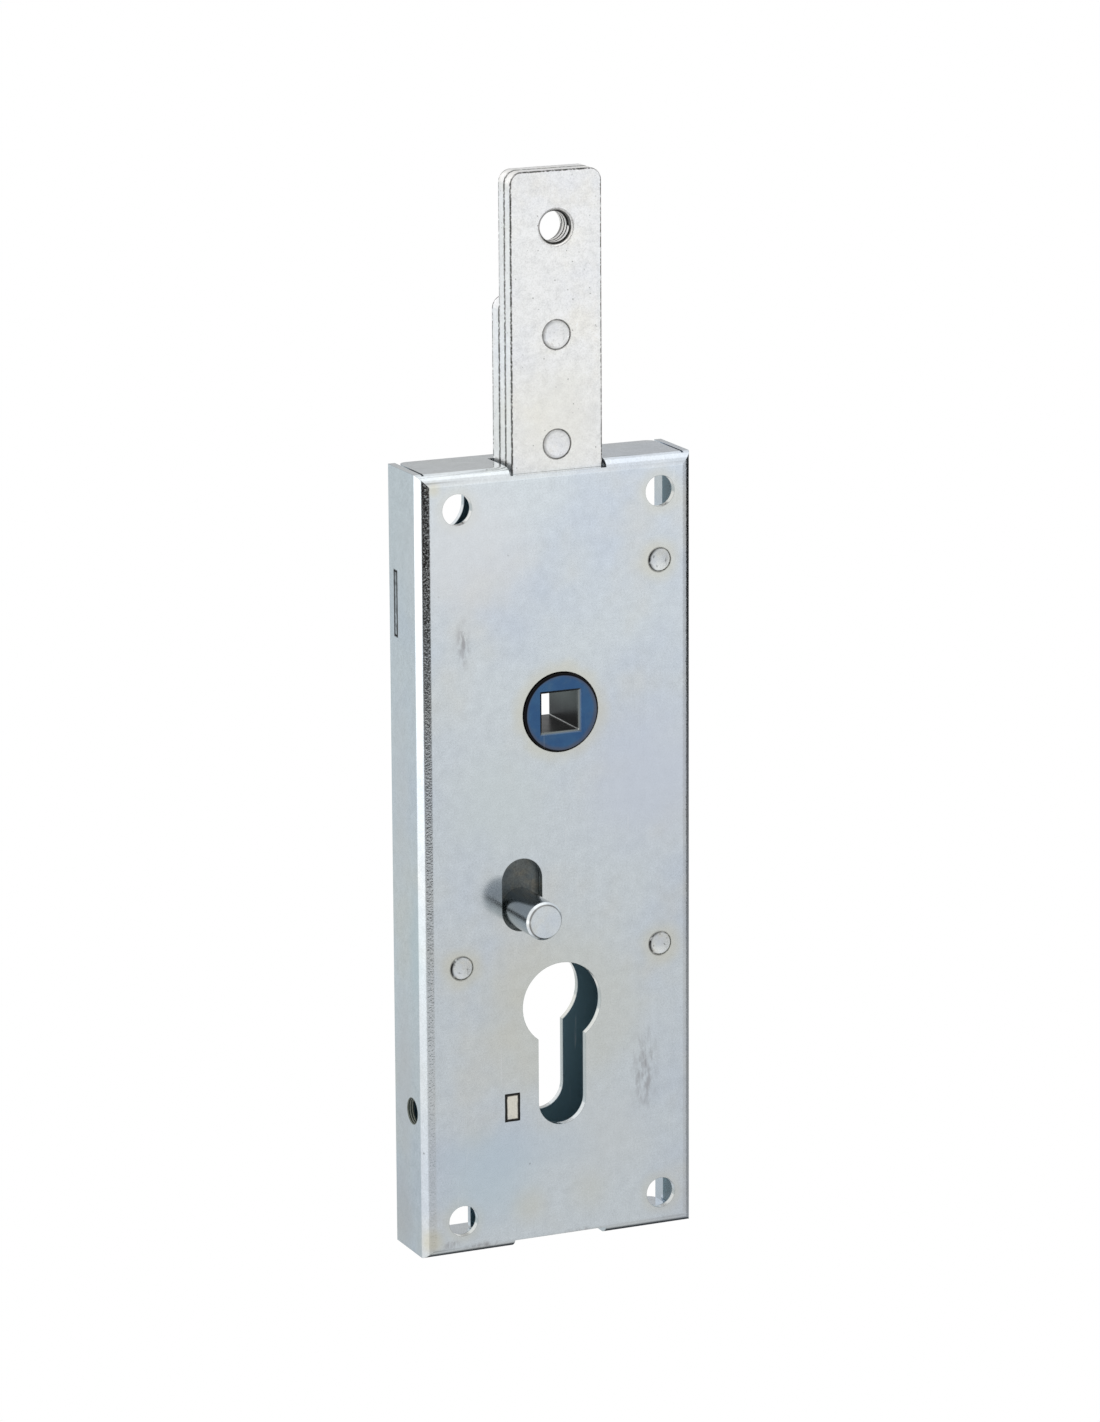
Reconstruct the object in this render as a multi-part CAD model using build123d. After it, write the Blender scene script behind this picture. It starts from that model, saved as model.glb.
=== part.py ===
from build123d import *
import math
import os

# Garage door lock: a folded steel case with a square spindle hub, a bolt that slides out of the top,
# a profile cylinder cut-out and a locking lever with a hand pin.
# Millimetres. X runs to the right and Z up as seen from the front, Y runs from the front plate backwards.
# Heights are measured from the bottom of the case, and Y = 0 is the outer face of the front plate.
# At the end everything moves down, so that the origin is the middle of the four fixing holes.

# Sheet metal
sheet = 1.5
bend_radius = 2.6
corner_slit = 0.45
flange_corner_radius = 2.2
flange_over_cover = 2.5

# Clearances
rivet_fit = 0.02
tenon_fit = 0.15
slide_fit = 0.15
running_gap = 0.2
arm_gap = 0.35
notch_gap = 0.4
cover_gap = 0.3
back_gap = 0.35
disc_gap = 0.3
hub_play = 0.3

# Bolt: two plates riveted to the front of a slide, which fill the inner depth of the case
bolt_x = 0.3
bolt_width = 20.0
bolt_plate = 3.0
bolt_inside = 20.0
bolt_corner_radius = 2.6
slide_thickness = 3.5
inner_depth = slide_fit + 2 * bolt_plate + slide_thickness + back_gap
cover_y = sheet + inner_depth
cover_back_y = cover_y + sheet

# Profile cylinder cut-out and the screw that holds the cylinder
cylinder_radius = 8.85
cylinder_slot = 10.7
cylinder_height = 34.8
cylinder_foot = 25.55
cylinder_z = cylinder_foot + cylinder_height - cylinder_radius
cylinder_screw_radius = 2.75
cylinder_screw_up = 5.05
cylinder_screw_z = cylinder_foot + cylinder_screw_up

# Case
case_left = 31.0
case_right = 30.0
case_depth = cover_back_y + flange_over_cover
hub_over_cylinder = 62.0
case_over_hub = 51.5
hub_z = cylinder_z + hub_over_cylinder
case_height = hub_z + case_over_hub

# Fixing holes, one at each corner of the front plate
fixing_radius = 3.25
fixing_edge_x = 7.5
fixing_low_z = 7.5
fixing_pitch_x = 2 * (case_right - fixing_edge_x)
fixing_pitch_z = case_height - 2 * fixing_low_z
fixing_mid_z = case_height / 2

# Hub, turned by the spindle
hub_radius = 8.15
hub_hole_radius = hub_radius + hub_play
hub_proud = 0.2
hub_tail = 1.8
spindle_side = 8.2
spindle_chamfer = 0.5
hub_turn_deg = 70.0
hub_turn = math.radians(hub_turn_deg)
disc_radius = 11.5
arm_reach = 14.0
arm_head_radius = 3.0
arm_neck_width = 4.0
arm_thickness = 3.1
arm_head_z = hub_z + arm_reach * math.sin(hub_turn / 2)
bolt_travel = 2 * arm_reach * math.sin(hub_turn / 2)

# Heights of the bolt, from the top of the case up
bolt_outside = 59.6
bolt_top_z = case_height + bolt_outside
bolt_low_z = case_height - bolt_inside
bolt_rivet_radius = 3.0
bolt_rivet_up = 3.8
bolt_rivet_pitch = 22.4
bolt_rivet_lower_z = case_height + bolt_rivet_up
bolt_rivet_upper_z = bolt_rivet_lower_z + bolt_rivet_pitch
tapped_hole_radius = 3.4
tapped_hole_down = 11.6
tapped_hole_z = bolt_top_z - tapped_hole_down
tapped_hole_chamfer = 0.45

# Springs, their guide rods and seats
wire_radius = 0.4
wire_sides = 5
coil_radius = 2.6
coil_steps = 8
spring_rod_radius = 1.5
seat_thickness = 2.5
seat_tenon_width = 4.0
return_spring_edge = 4.5
return_spring_x = case_right - sheet - return_spring_edge
return_spring_y = cover_y - coil_radius - wire_radius - disc_gap
return_coils = 7
lever_coils = 6

# Slide, round the hub and behind the bolt plates
slide_corner_radius = 1.5
slide_land = 4.6
window_gap_left = 0.75
window_gap_right = 2.45
window_gap_low = 1.35
window_over = 1.3
slide_side_gap = 0.5
shoulder_right_down = 2.0
shoulder_left_up = 7.0
slide_window_left = hub_radius + window_gap_left
slide_window_right = hub_radius + window_gap_right
slide_window_low_z = hub_z - hub_radius - window_gap_low
slide_window_high_z = hub_z + hub_radius + bolt_travel + window_over
slide_left = slide_window_left + slide_land
slide_right = return_spring_x - coil_radius - wire_radius - slide_side_gap
slide_shoulder_right_z = slide_window_high_z - shoulder_right_down
slide_shoulder_left_z = slide_window_high_z + shoulder_left_up
slide_foot = 21.0
slide_bottom_z = slide_window_low_z - slide_foot
slide_over_rivet = 7.3
slide_top_z = bolt_rivet_upper_z + slide_over_rivet
shelf_thickness = 3.0
return_shelf_down = 8.0
return_shelf_z = slide_window_low_z - return_shelf_down

# Guide stud behind the slide
stud_up = 7.0
stud_z = slide_bottom_z + stud_up
stud_radius = 3.0
stud_head_radius = 4.5
stud_head_thickness = 1.2
stud_rivet_radius = 2.0

# Locking lever, with a nose below the hub
lever_thickness = 2.5
lever_side_gap = 0.9
lever_half_width = case_right - sheet - lever_side_gap
lever_over_cylinder = 0.65
lever_low_z = cylinder_z + cylinder_radius + lever_over_cylinder
nose_width = 5.0
nose_gap = 3.0
nose_height = 13.0
nose_top_z = hub_z - disc_radius - nose_gap
lever_high_z = nose_top_z - nose_height
lever_leg_height = 13.0
lever_leg_z = lever_low_z - lever_leg_height
lever_leg_width = 11.2
lever_lift = 6.0
lever_shelf_thickness = 2.5
lever_shelf_up = 4.0
lever_shelf_top_z = lever_high_z + lever_shelf_up

# Spacer posts between the front plate and the rear cover
post_radius = 3.5
post_rivet_radius = 2.5
post_edge = 1.7
post_upper_down = 21.8
post_lower_up = 0.8
post_x = lever_half_width - post_radius - post_edge
post_upper_z = case_height - post_upper_down
post_lower_z = lever_low_z + post_lower_up

# Hand pin of the lever
pin_x = -8.8
pin_down = 0.5
pin_z = (lever_low_z + lever_high_z) / 2 - pin_down
pin_radius = 4.0
pin_length = 12.0
pin_chamfer_radial = 0.65
pin_chamfer_axial = 1.0
pin_rivet_radius = 3.0
pin_slot_side = 0.5
pin_slot_below = 0.9
pin_slot_above = 0.5
pin_slot_width = 2 * (pin_radius + pin_slot_side)
pin_slot_height = lever_lift + 2 * pin_radius + pin_slot_below + pin_slot_above
pin_slot_z = pin_z - pin_radius - pin_slot_below + pin_slot_height / 2

# Spring seats
seat_over_post = 0.7
lever_spring_length = 22.0
return_seat_z = post_lower_z + post_radius + seat_over_post
lever_seat_z = lever_shelf_top_z + lever_spring_length

# Bracket that steadies the cylinder screw
bracket_x = -11.3
bracket_thickness = 2.8
bracket_height = 16.0
bracket_tenon_height = 5.5
bracket_z = cylinder_screw_z

# Rear cover
cover_notch_x = 16.0
cover_notch_height = 12.5
cover_notch_radius = 6.0
tab_height = 13.2
tab_down = 28.3
tab_z = case_height - tab_down

# Openings in the top and bottom flanges
bar_gap_left = 1.0
bar_gap_right = 0.35
bar_notch_left = bolt_width / 2 - bolt_x + bar_gap_left
bar_notch_right = bolt_width / 2 + bolt_x + bar_gap_right
bar_notch_back = 0.5
bar_notch_edge = 1.6
foot_notch_left = 10.8
foot_notch_right = 10.0

# Depths of the layers, from the front plate backwards
front_inner_y = sheet
bolt_front_y = front_inner_y + slide_fit
bolt_mid_y = bolt_front_y + bolt_plate
slide_y = bolt_mid_y + bolt_plate
slide_back_y = slide_y + slide_thickness
lever_y = front_inner_y + slide_fit
lever_back_y = lever_y + lever_thickness
stud_head_y = slide_y - running_gap - stud_head_thickness
lever_spring_edge = 4.1
lever_spring_behind = 2.25
lever_spring_x = lever_spring_edge - lever_half_width
lever_spring_y = lever_back_y + lever_spring_behind


def plate(sketch, front_y, back_y):
    """A flat piece: the outline is drawn in X and Z and runs from front_y back to back_y."""
    return extrude(Plane.XZ.offset(-back_y) * sketch, amount=back_y - front_y)


def disc(x, z, radius, front_y, back_y):
    """A round piece along Y."""
    return plate(Pos(x, z) * Circle(radius), front_y, back_y)


def block(low_x, high_x, low_y, high_y, low_z, high_z):
    """A square block between two corners."""
    middle = Pos((low_x + high_x) / 2, (low_y + high_y) / 2, (low_z + high_z) / 2)
    return middle * Box(high_x - low_x, high_y - low_y, high_z - low_z)


def rectangle(low_x, high_x, low_z, high_z):
    """A rectangle between two corners, in X and Z."""
    return Pos((low_x + high_x) / 2, (low_z + high_z) / 2) * Rectangle(high_x - low_x, high_z - low_z)


def upright_slot(x, z, width, height):
    """A slot with round ends, longest along Z."""
    return Pos(x, z) * Rot(0, 0, 90) * SlotOverall(height, width)


def cylinder_outline(play):
    """The profile cylinder's keyhole: a circle over a narrower lobe."""
    low_z = cylinder_z + cylinder_radius - cylinder_height
    lobe_z = low_z + cylinder_slot / 2
    circle = Pos(0, cylinder_z) * Circle(cylinder_radius + play)
    stem = rectangle(-cylinder_slot / 2 - play, cylinder_slot / 2 + play, lobe_z, cylinder_z)
    lobe = Pos(0, lobe_z) * Circle(cylinder_slot / 2 + play)
    return circle + stem + lobe


def post_places():
    """Where the three spacer posts stand."""
    return {
        "upper_right": (post_x, post_upper_z),
        "lower_right": (post_x, post_lower_z),
        "lower_left": (-post_x, post_lower_z),
    }


def make_case():
    """The folded case: front plate, two side walls and slit top and bottom flanges."""
    body = block(-case_left, case_right, 0, case_depth, 0, case_height)
    body = fillet(body.edges().group_by(Axis.Y)[0], bend_radius)
    inside = block(
        sheet - case_left, case_right - sheet, sheet, case_depth + sheet, sheet, case_height - sheet
    )
    inside = fillet(inside.edges().group_by(Axis.Y)[0], bend_radius - sheet)
    body -= inside

    # The flanges are cut free from the side walls, and their back corners are round
    for low_z, high_z in ((-sheet, sheet), (case_height - sheet, case_height + sheet)):
        for wall_x, side in ((sheet - case_left, 1), (case_right - sheet, -1)):
            slit_x = sorted((wall_x, wall_x + side * corner_slit))
            body -= block(*slit_x, sheet, case_depth + sheet, low_z, high_z)
            corner_x = wall_x + side * corner_slit
            corner = Pos(corner_x, case_depth - flange_corner_radius) * rectangle(
                *sorted((0, side * flange_corner_radius)), 0, flange_corner_radius
            )
            round_end = Pos(
                corner_x + side * flange_corner_radius, case_depth - flange_corner_radius
            ) * Circle(flange_corner_radius)
            body -= Pos(0, 0, low_z) * extrude(corner - round_end, amount=high_z - low_z)

    # The bolt comes out through the top, and the bottom flange is open below it
    body -= block(
        -bar_notch_left, bar_notch_right, -sheet, sheet,
        case_height - bar_notch_edge, case_height + sheet,
    )
    body -= block(
        -bar_notch_left, bar_notch_right, sheet, slide_back_y + bar_notch_back,
        case_height - bend_radius - running_gap, case_height + sheet,
    )
    body -= block(-foot_notch_left, foot_notch_right, -sheet, case_depth + sheet, -sheet, bar_notch_edge)

    holes = Sketch()
    for side in (-1, 1):
        for level in (-1, 1):
            place = Pos(side * fixing_pitch_x / 2, fixing_mid_z + level * fixing_pitch_z / 2)
            holes += place * Circle(fixing_radius)
    holes += Pos(0, hub_z) * Circle(hub_hole_radius)
    holes += cylinder_outline(0)
    holes += upright_slot(pin_x, pin_slot_z, pin_slot_width, pin_slot_height)
    for x, z in post_places().values():
        holes += Pos(x, z) * Circle(post_rivet_radius + rivet_fit)
    holes += bracket_window()
    body -= plate(holes, -sheet, 2 * sheet)

    # Left wall: the slot for the cover's tab and the hole for the cylinder screw
    body -= block(
        -case_left - sheet, 2 * sheet - case_left,
        cover_y - tenon_fit, cover_back_y + tenon_fit,
        tab_z - tab_height / 2 - tenon_fit, tab_z + tab_height / 2 + tenon_fit,
    )
    screw = Pos(-case_left, cover_middle_y(), cylinder_screw_z) * Rot(0, 90, 0)
    body -= screw * Cylinder(cylinder_screw_radius, 4 * sheet)
    return body


def cover_middle_y():
    """Halfway between the front plate and the rear cover."""
    return front_inner_y + inner_depth / 2


def bracket_window():
    """The window that the screw bracket's tenon fills, in the front plate and the cover."""
    half_x = bracket_thickness / 2 + tenon_fit
    half_z = bracket_tenon_height / 2 + tenon_fit
    return rectangle(bracket_x - half_x, bracket_x + half_x, bracket_z - half_z, bracket_z + half_z)


def seat_window(x, z):
    """The window in the cover that a spring seat's tenon fills."""
    half_x = seat_tenon_width / 2 + tenon_fit
    return rectangle(x - half_x, x + half_x, z - tenon_fit, z + seat_thickness + tenon_fit)


def make_cover():
    """The rear cover: a flat plate inside the flanges, cut back at the fixing holes."""
    gap = sheet + cover_gap
    left = gap - case_left
    right = case_right - gap
    low_z = gap
    high_z = case_height - gap
    outline = rectangle(left, right, low_z, high_z)
    for outer_x, inner_x in ((left, -cover_notch_x), (right, cover_notch_x)):
        span = sorted((outer_x + math.copysign(sheet, outer_x), inner_x))
        upper = rectangle(*span, high_z - cover_notch_height, high_z + sheet)
        lower = rectangle(*span, low_z - sheet, low_z + cover_notch_height)
        for notch in (upper, lower):
            outline -= notch
    inner_corners = [
        corner
        for corner in outline.vertices()
        if abs(abs(corner.X) - cover_notch_x) < cover_gap
        and abs(abs(corner.Y - case_height / 2) - case_height / 2) > cover_notch_height
    ]
    outline = fillet(inner_corners, cover_notch_radius)
    outline += rectangle(-case_left, left + sheet, tab_z - tab_height / 2, tab_z + tab_height / 2)
    outline -= Pos(0, hub_z) * Circle(hub_hole_radius)
    outline -= cylinder_outline(0)
    for x, z in post_places().values():
        outline -= Pos(x, z) * Circle(post_rivet_radius + rivet_fit)
    outline -= Pos(bolt_x, stud_z) * Circle(stud_rivet_radius + rivet_fit)
    outline -= bracket_window()
    outline -= seat_window(return_spring_x, return_seat_z)
    outline -= seat_window(lever_spring_x, lever_seat_z)
    return plate(outline, cover_y, cover_back_y)


def make_post(x, z):
    """A shouldered post, riveted over in the front plate and in the cover."""
    post = disc(x, z, post_radius, front_inner_y, cover_y)
    return post + disc(x, z, post_rivet_radius, 0, cover_back_y)


def make_bracket():
    """The upright bracket beside the cylinder, with a tenon at the front and at the back."""
    half_x = bracket_thickness / 2
    half_z = bracket_height / 2
    half_tenon = bracket_tenon_height / 2
    body = block(
        bracket_x - half_x, bracket_x + half_x, front_inner_y, cover_y,
        bracket_z - half_z, bracket_z + half_z,
    )
    body += block(
        bracket_x - half_x, bracket_x + half_x, 0, cover_back_y,
        bracket_z - half_tenon, bracket_z + half_tenon,
    )
    screw = Pos(bracket_x, cover_middle_y(), cylinder_screw_z) * Rot(0, 90, 0)
    return body - screw * Cylinder(cylinder_screw_radius, 2 * bracket_thickness)


def make_hub():
    """The hub: two journals, a notched disc for the lever and an arm that works the slide."""
    disc_back_y = slide_y - disc_gap
    tail_y = cover_back_y + hub_tail
    body = disc(0, hub_z, hub_radius, -hub_proud, tail_y)
    rim = Circle(disc_radius)
    for angle in (-90, hub_turn_deg - 90):
        notch = Pos(hub_radius + disc_radius / 2, 0) * Rectangle(
            disc_radius, nose_width + 2 * notch_gap
        )
        rim -= Rot(0, 0, angle) * notch
    body += plate(Pos(0, hub_z) * rim, front_inner_y + slide_fit, disc_back_y)

    arm = rectangle(0, arm_reach, -arm_neck_width / 2, arm_neck_width / 2)
    arm += Pos(arm_reach, 0) * Circle(arm_head_radius)
    arm = Pos(0, hub_z) * Rot(0, 0, hub_turn_deg / 2) * arm
    body += plate(arm, cover_y - slide_fit - arm_thickness, cover_y - slide_fit)

    square = Pos(0, hub_z) * Rectangle(spindle_side, spindle_side)
    body -= plate(square, -sheet, tail_y + sheet)
    mouth = body.faces().sort_by(Axis.Y)[0].inner_wires().edges()
    return chamfer(mouth, spindle_chamfer)


def make_bolt_plate(front_y, is_front):
    """One of the two bolt plates: round top corners, a tapped hole and two rivet holes."""
    half = bolt_width / 2
    outline = rectangle(bolt_x - half, bolt_x + half, bolt_low_z, bolt_top_z)
    outline = fillet(outline.vertices().group_by(Axis.Y)[-1], bolt_corner_radius)
    outline -= Pos(bolt_x, tapped_hole_z) * Circle(tapped_hole_radius)
    for z in (bolt_rivet_upper_z, bolt_rivet_lower_z):
        outline -= Pos(bolt_x, z) * Circle(bolt_rivet_radius + rivet_fit)
    body = plate(outline, front_y, front_y + bolt_plate)
    outer_face = body.faces().sort_by(Axis.Y)[0 if is_front else -1]
    mouth = outer_face.edges().filter_by(GeomType.CIRCLE).sort_by(Axis.Z)
    mouth = [edge for edge in mouth if abs(edge.arc_center.Z - tapped_hole_z) < bolt_corner_radius]
    return chamfer(mouth, tapped_hole_chamfer)


def make_slide():
    """The slide: a stem behind the bolt plates, a window round the hub and a spring shelf."""
    stem_left = bolt_x - bolt_width / 2
    stem_right = bolt_x + bolt_width / 2
    outline = Polygon(
        (-slide_left, slide_bottom_z),
        (slide_right, slide_bottom_z),
        (slide_right, slide_shoulder_right_z),
        (stem_right, slide_shoulder_right_z),
        (stem_right, slide_top_z),
        (stem_left, slide_top_z),
        (stem_left, slide_shoulder_left_z),
        (-slide_left, slide_shoulder_left_z),
        align=None,
    )
    below = [corner for level in outline.vertices().group_by(Axis.Y)[:-1] for corner in level]
    outline = fillet(below, slide_corner_radius)
    outline = fillet(outline.vertices().group_by(Axis.Y)[-1], bolt_corner_radius)

    window = rectangle(
        -slide_window_left, slide_window_right, slide_window_low_z, slide_window_high_z
    )
    notch_half = arm_head_radius + arm_gap
    notch_end = arm_reach + arm_head_radius + notch_gap
    window += rectangle(0, notch_end, arm_head_z - notch_half, arm_head_z + notch_half)
    outline -= window
    stud_play = stud_radius + slide_fit
    guide = rectangle(bolt_x - stud_play, bolt_x + stud_play, stud_z, slide_window_low_z)
    guide += Pos(bolt_x, stud_z) * Circle(stud_play)
    outline -= guide
    for z in (bolt_rivet_upper_z, bolt_rivet_lower_z):
        outline -= Pos(bolt_x, z) * Circle(bolt_rivet_radius + rivet_fit)
    body = plate(outline, slide_y, slide_back_y)

    shelf_end = return_spring_x + coil_radius + wire_radius + running_gap
    shelf_front_y = return_spring_y - coil_radius - wire_radius - running_gap
    body += block(
        slide_right - bend_radius, shelf_end, shelf_front_y, slide_back_y,
        return_shelf_z, return_shelf_z + shelf_thickness,
    )
    hole = Pos(return_spring_x, return_spring_y, return_shelf_z)
    return body - hole * Cylinder(spring_rod_radius + running_gap, 4 * shelf_thickness)


def make_bolt_rivet(z):
    """A flush rivet through both bolt plates and the slide."""
    return disc(bolt_x, z, bolt_rivet_radius, bolt_front_y, slide_back_y)


def make_stud():
    """The headed stud that guides the slide, riveted in the cover."""
    body = disc(bolt_x, stud_z, stud_radius, stud_head_y, cover_y)
    body += disc(bolt_x, stud_z, stud_head_radius, stud_head_y, stud_head_y + stud_head_thickness)
    return body + disc(bolt_x, stud_z, stud_rivet_radius, cover_y, cover_back_y)


def make_lever():
    """The locking lever: a plate slotted on two posts, with a nose below the hub and a spring shelf."""
    half = lever_half_width
    leg_inner = half - lever_leg_width
    shelf_half = coil_radius + wire_radius + slide_fit
    shelf_x = (-half, lever_spring_x + shelf_half)
    outline = Polygon(
        (-half, lever_leg_z),
        (-leg_inner, lever_leg_z),
        (-leg_inner, lever_low_z),
        (leg_inner, lever_low_z),
        (leg_inner, lever_leg_z),
        (half, lever_leg_z),
        (half, lever_high_z),
        (nose_width / 2, lever_high_z),
        (nose_width / 2, nose_top_z),
        (-nose_width / 2, nose_top_z),
        (-nose_width / 2, lever_high_z),
        (shelf_x[1], lever_high_z),
        (shelf_x[1], lever_shelf_top_z),
        (-half, lever_shelf_top_z),
        align=None,
    )
    outline = fillet(outline.vertices(), slide_corner_radius)
    for side in (-1, 1):
        slot_low = post_lower_z - lever_lift - post_radius - slide_fit
        slot_high = post_lower_z + post_radius + slide_fit
        outline -= upright_slot(
            side * post_x, (slot_low + slot_high) / 2,
            2 * (post_radius + slide_fit), slot_high - slot_low,
        )
    outline -= Pos(pin_x, pin_z) * Circle(pin_rivet_radius + rivet_fit)
    body = plate(outline, lever_y, lever_back_y)
    shelf_low_z = lever_shelf_top_z - lever_shelf_thickness
    body += block(
        *shelf_x, lever_y, lever_spring_y + shelf_half, shelf_low_z, lever_shelf_top_z
    )
    hole = Pos(lever_spring_x, lever_spring_y, shelf_low_z)
    return body - hole * Cylinder(spring_rod_radius + running_gap, 4 * lever_shelf_thickness)


def make_pin():
    """The hand pin: a chamfered round pin, riveted through the lever."""
    body = disc(pin_x, pin_z, pin_radius, -pin_length, lever_y)
    end = body.faces().sort_by(Axis.Y)[0].edges()
    body = chamfer(end, pin_chamfer_axial, pin_chamfer_radial)
    return body + disc(pin_x, pin_z, pin_rivet_radius, lever_y, lever_back_y)


def make_seat(x, y, z, reach):
    """A spring seat: a ledge with a tenon in the cover and a hole for the guide rod."""
    half = coil_radius + wire_radius + slide_fit
    ledge = block(x - half, x + half, y - half, cover_y, z, z + seat_thickness)
    half_tenon = seat_tenon_width / 2
    ledge += block(x - half_tenon, x + half_tenon, cover_y, cover_back_y, z, z + seat_thickness)
    return ledge - Pos(x, y, z) * Cylinder(spring_rod_radius + rivet_fit, reach)


def make_rod(x, y, low_z, high_z):
    """A guide rod that keeps a spring straight."""
    return Pos(x, y, (low_z + high_z) / 2) * Cylinder(spring_rod_radius, high_z - low_z)


def make_spring(x, y, low_z, high_z, coils):
    """A coil spring between two seats, drawn as short straight lengths of wire."""
    start_z = low_z + wire_radius + rivet_fit
    height = high_z - low_z - 2 * (wire_radius + rivet_fit)
    count = coils * coil_steps
    points = []
    for step in range(count + 1):
        angle = 2 * math.pi * step / coil_steps
        points.append(
            (coil_radius * math.cos(angle), coil_radius * math.sin(angle), height * step / count)
        )
    path = Polyline(*points)
    ring = Plane(path @ 0, z_dir=path % 0) * RegularPolygon(wire_radius, wire_sides)
    return Pos(x, y, start_z) * sweep(ring, path=path, transition=Transition.RIGHT)


def make_parts():
    """Every node by its name."""
    parts = {
        "case_shell": make_case(),
        "rear_cover": make_cover(),
        "cylinder_screw_bracket": make_bracket(),
        "spindle_hub": make_hub(),
        "bolt_slide": make_slide(),
        "bolt_plate_front": make_bolt_plate(bolt_front_y, True),
        "bolt_plate_rear": make_bolt_plate(bolt_mid_y, False),
        "bolt_rivet_upper": make_bolt_rivet(bolt_rivet_upper_z),
        "bolt_rivet_lower": make_bolt_rivet(bolt_rivet_lower_z),
        "slide_guide_stud": make_stud(),
        "lock_lever": make_lever(),
        "lock_pin": make_pin(),
    }
    for name, (x, z) in post_places().items():
        parts[f"spacer_post_{name}"] = make_post(x, z)

    seat_reach = 4 * seat_thickness
    rod_over = seat_thickness + shelf_thickness
    parts["return_spring_seat"] = make_seat(return_spring_x, return_spring_y, return_seat_z, seat_reach)
    parts["return_spring_rod"] = make_rod(
        return_spring_x, return_spring_y, return_seat_z, return_shelf_z + rod_over
    )
    parts["return_spring"] = make_spring(
        return_spring_x, return_spring_y, return_seat_z + seat_thickness, return_shelf_z, return_coils
    )
    parts["lever_spring_seat"] = make_seat(lever_spring_x, lever_spring_y, lever_seat_z, seat_reach)
    parts["lever_spring_rod"] = make_rod(
        lever_spring_x, lever_spring_y,
        lever_shelf_top_z - lever_shelf_thickness - seat_thickness, lever_seat_z + seat_thickness,
    )
    parts["lever_spring"] = make_spring(
        lever_spring_x, lever_spring_y, lever_shelf_top_z, lever_seat_z, lever_coils
    )
    to_origin = Pos(0, 0, -fixing_mid_z)
    return {name: to_origin * solid for name, solid in parts.items()}


if __name__ == "__main__":
    os.makedirs("parts", exist_ok=True)
    for node, solid in make_parts().items():
        export_step(solid, f"parts/{node}.step")
    print("bolt travel", round(bolt_travel, 3), "mm over", round(hub_turn, 4), "radians")
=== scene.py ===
"""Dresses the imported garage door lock: finishes, finely modelled pieces, a studio and the camera."""
import logging
import math
from collections.abc import Callable, Mapping, Sequence
from dataclasses import dataclass, field
from enum import Enum

import bpy
from mathutils import Matrix, Quaternion, Vector


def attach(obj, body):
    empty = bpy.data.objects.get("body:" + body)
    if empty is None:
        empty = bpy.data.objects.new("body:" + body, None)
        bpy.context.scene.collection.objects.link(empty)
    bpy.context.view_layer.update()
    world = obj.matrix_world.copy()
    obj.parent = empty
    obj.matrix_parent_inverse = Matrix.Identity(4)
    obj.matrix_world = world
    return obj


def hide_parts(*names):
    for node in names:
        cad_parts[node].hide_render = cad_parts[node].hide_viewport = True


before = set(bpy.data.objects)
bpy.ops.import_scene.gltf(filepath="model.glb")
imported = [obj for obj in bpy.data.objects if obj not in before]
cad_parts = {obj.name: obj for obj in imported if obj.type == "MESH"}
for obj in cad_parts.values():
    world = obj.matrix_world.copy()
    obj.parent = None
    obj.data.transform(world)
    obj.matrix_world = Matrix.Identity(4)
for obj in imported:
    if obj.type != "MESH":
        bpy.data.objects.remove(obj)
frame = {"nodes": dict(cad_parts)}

logging.basicConfig(level=logging.INFO, format="%(message)s")
log = logging.getLogger("lock")

MM = 0.001

Colour = tuple[float, float, float]
Point = tuple[float, float, float]
Object = bpy.types.Object
Socket = bpy.types.NodeSocket
Sockets = Mapping[str, Socket]
Tree = bpy.types.NodeTree

CREAM: Colour = (0.72, 0.68, 0.53)
SMEAR: Colour = (0.36, 0.35, 0.36)
SKY: Colour = (0.60, 0.69, 0.78)
# Dirt in specks and along edges, and painted shade in corners, gaps, dents and outlines, and the painted
# dark reflection on the left bend.
DIRT_AND_SHADE: Colour = (0.09, 0.085, 0.08)
# Painted shade in the gaps round pieces let into the sheet.
GAP_SHADE: Colour = (0.012, 0.012, 0.012)
SCRATCH_LIGHT: Colour = (0.85, 0.86, 0.87)

WHITE: Colour = (1.0, 1.0, 1.0)

ORIGIN: Point = (0.0, 0.0, 0.0)
ACROSS: Point = (1.0, 0.0, 1.0)
EVEN: Point = (1.0, 1.0, 1.0)
TAPPED_HOLE: Point = (0.0003, 0.0, 0.1305)
RING_WIDTH = 0.00016
SCRATCHES = {"Stretch": (1.0, 1.0, 0.04), "Scale": 1500.0, "Low": 0.66, "High": 0.76}
SHEAR_MARKS = {"Stretch": (1.0, 1.0, 0.3), "Scale": 900.0, "Low": 0.38, "High": 0.66}


def heights(height_mm: float) -> float:
    """Turns a height above the bottom of the case, in mm, into metres in the row frame."""
    fixing_mid_mm = 82.5
    return (height_mm - fixing_mid_mm) * MM


class Body(Enum):
    """The bodies that carry new pieces."""

    CASE = "case"
    BOLT = "bolt"


# --------------------------------------------------------------------------------------------
# Node helpers


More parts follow.
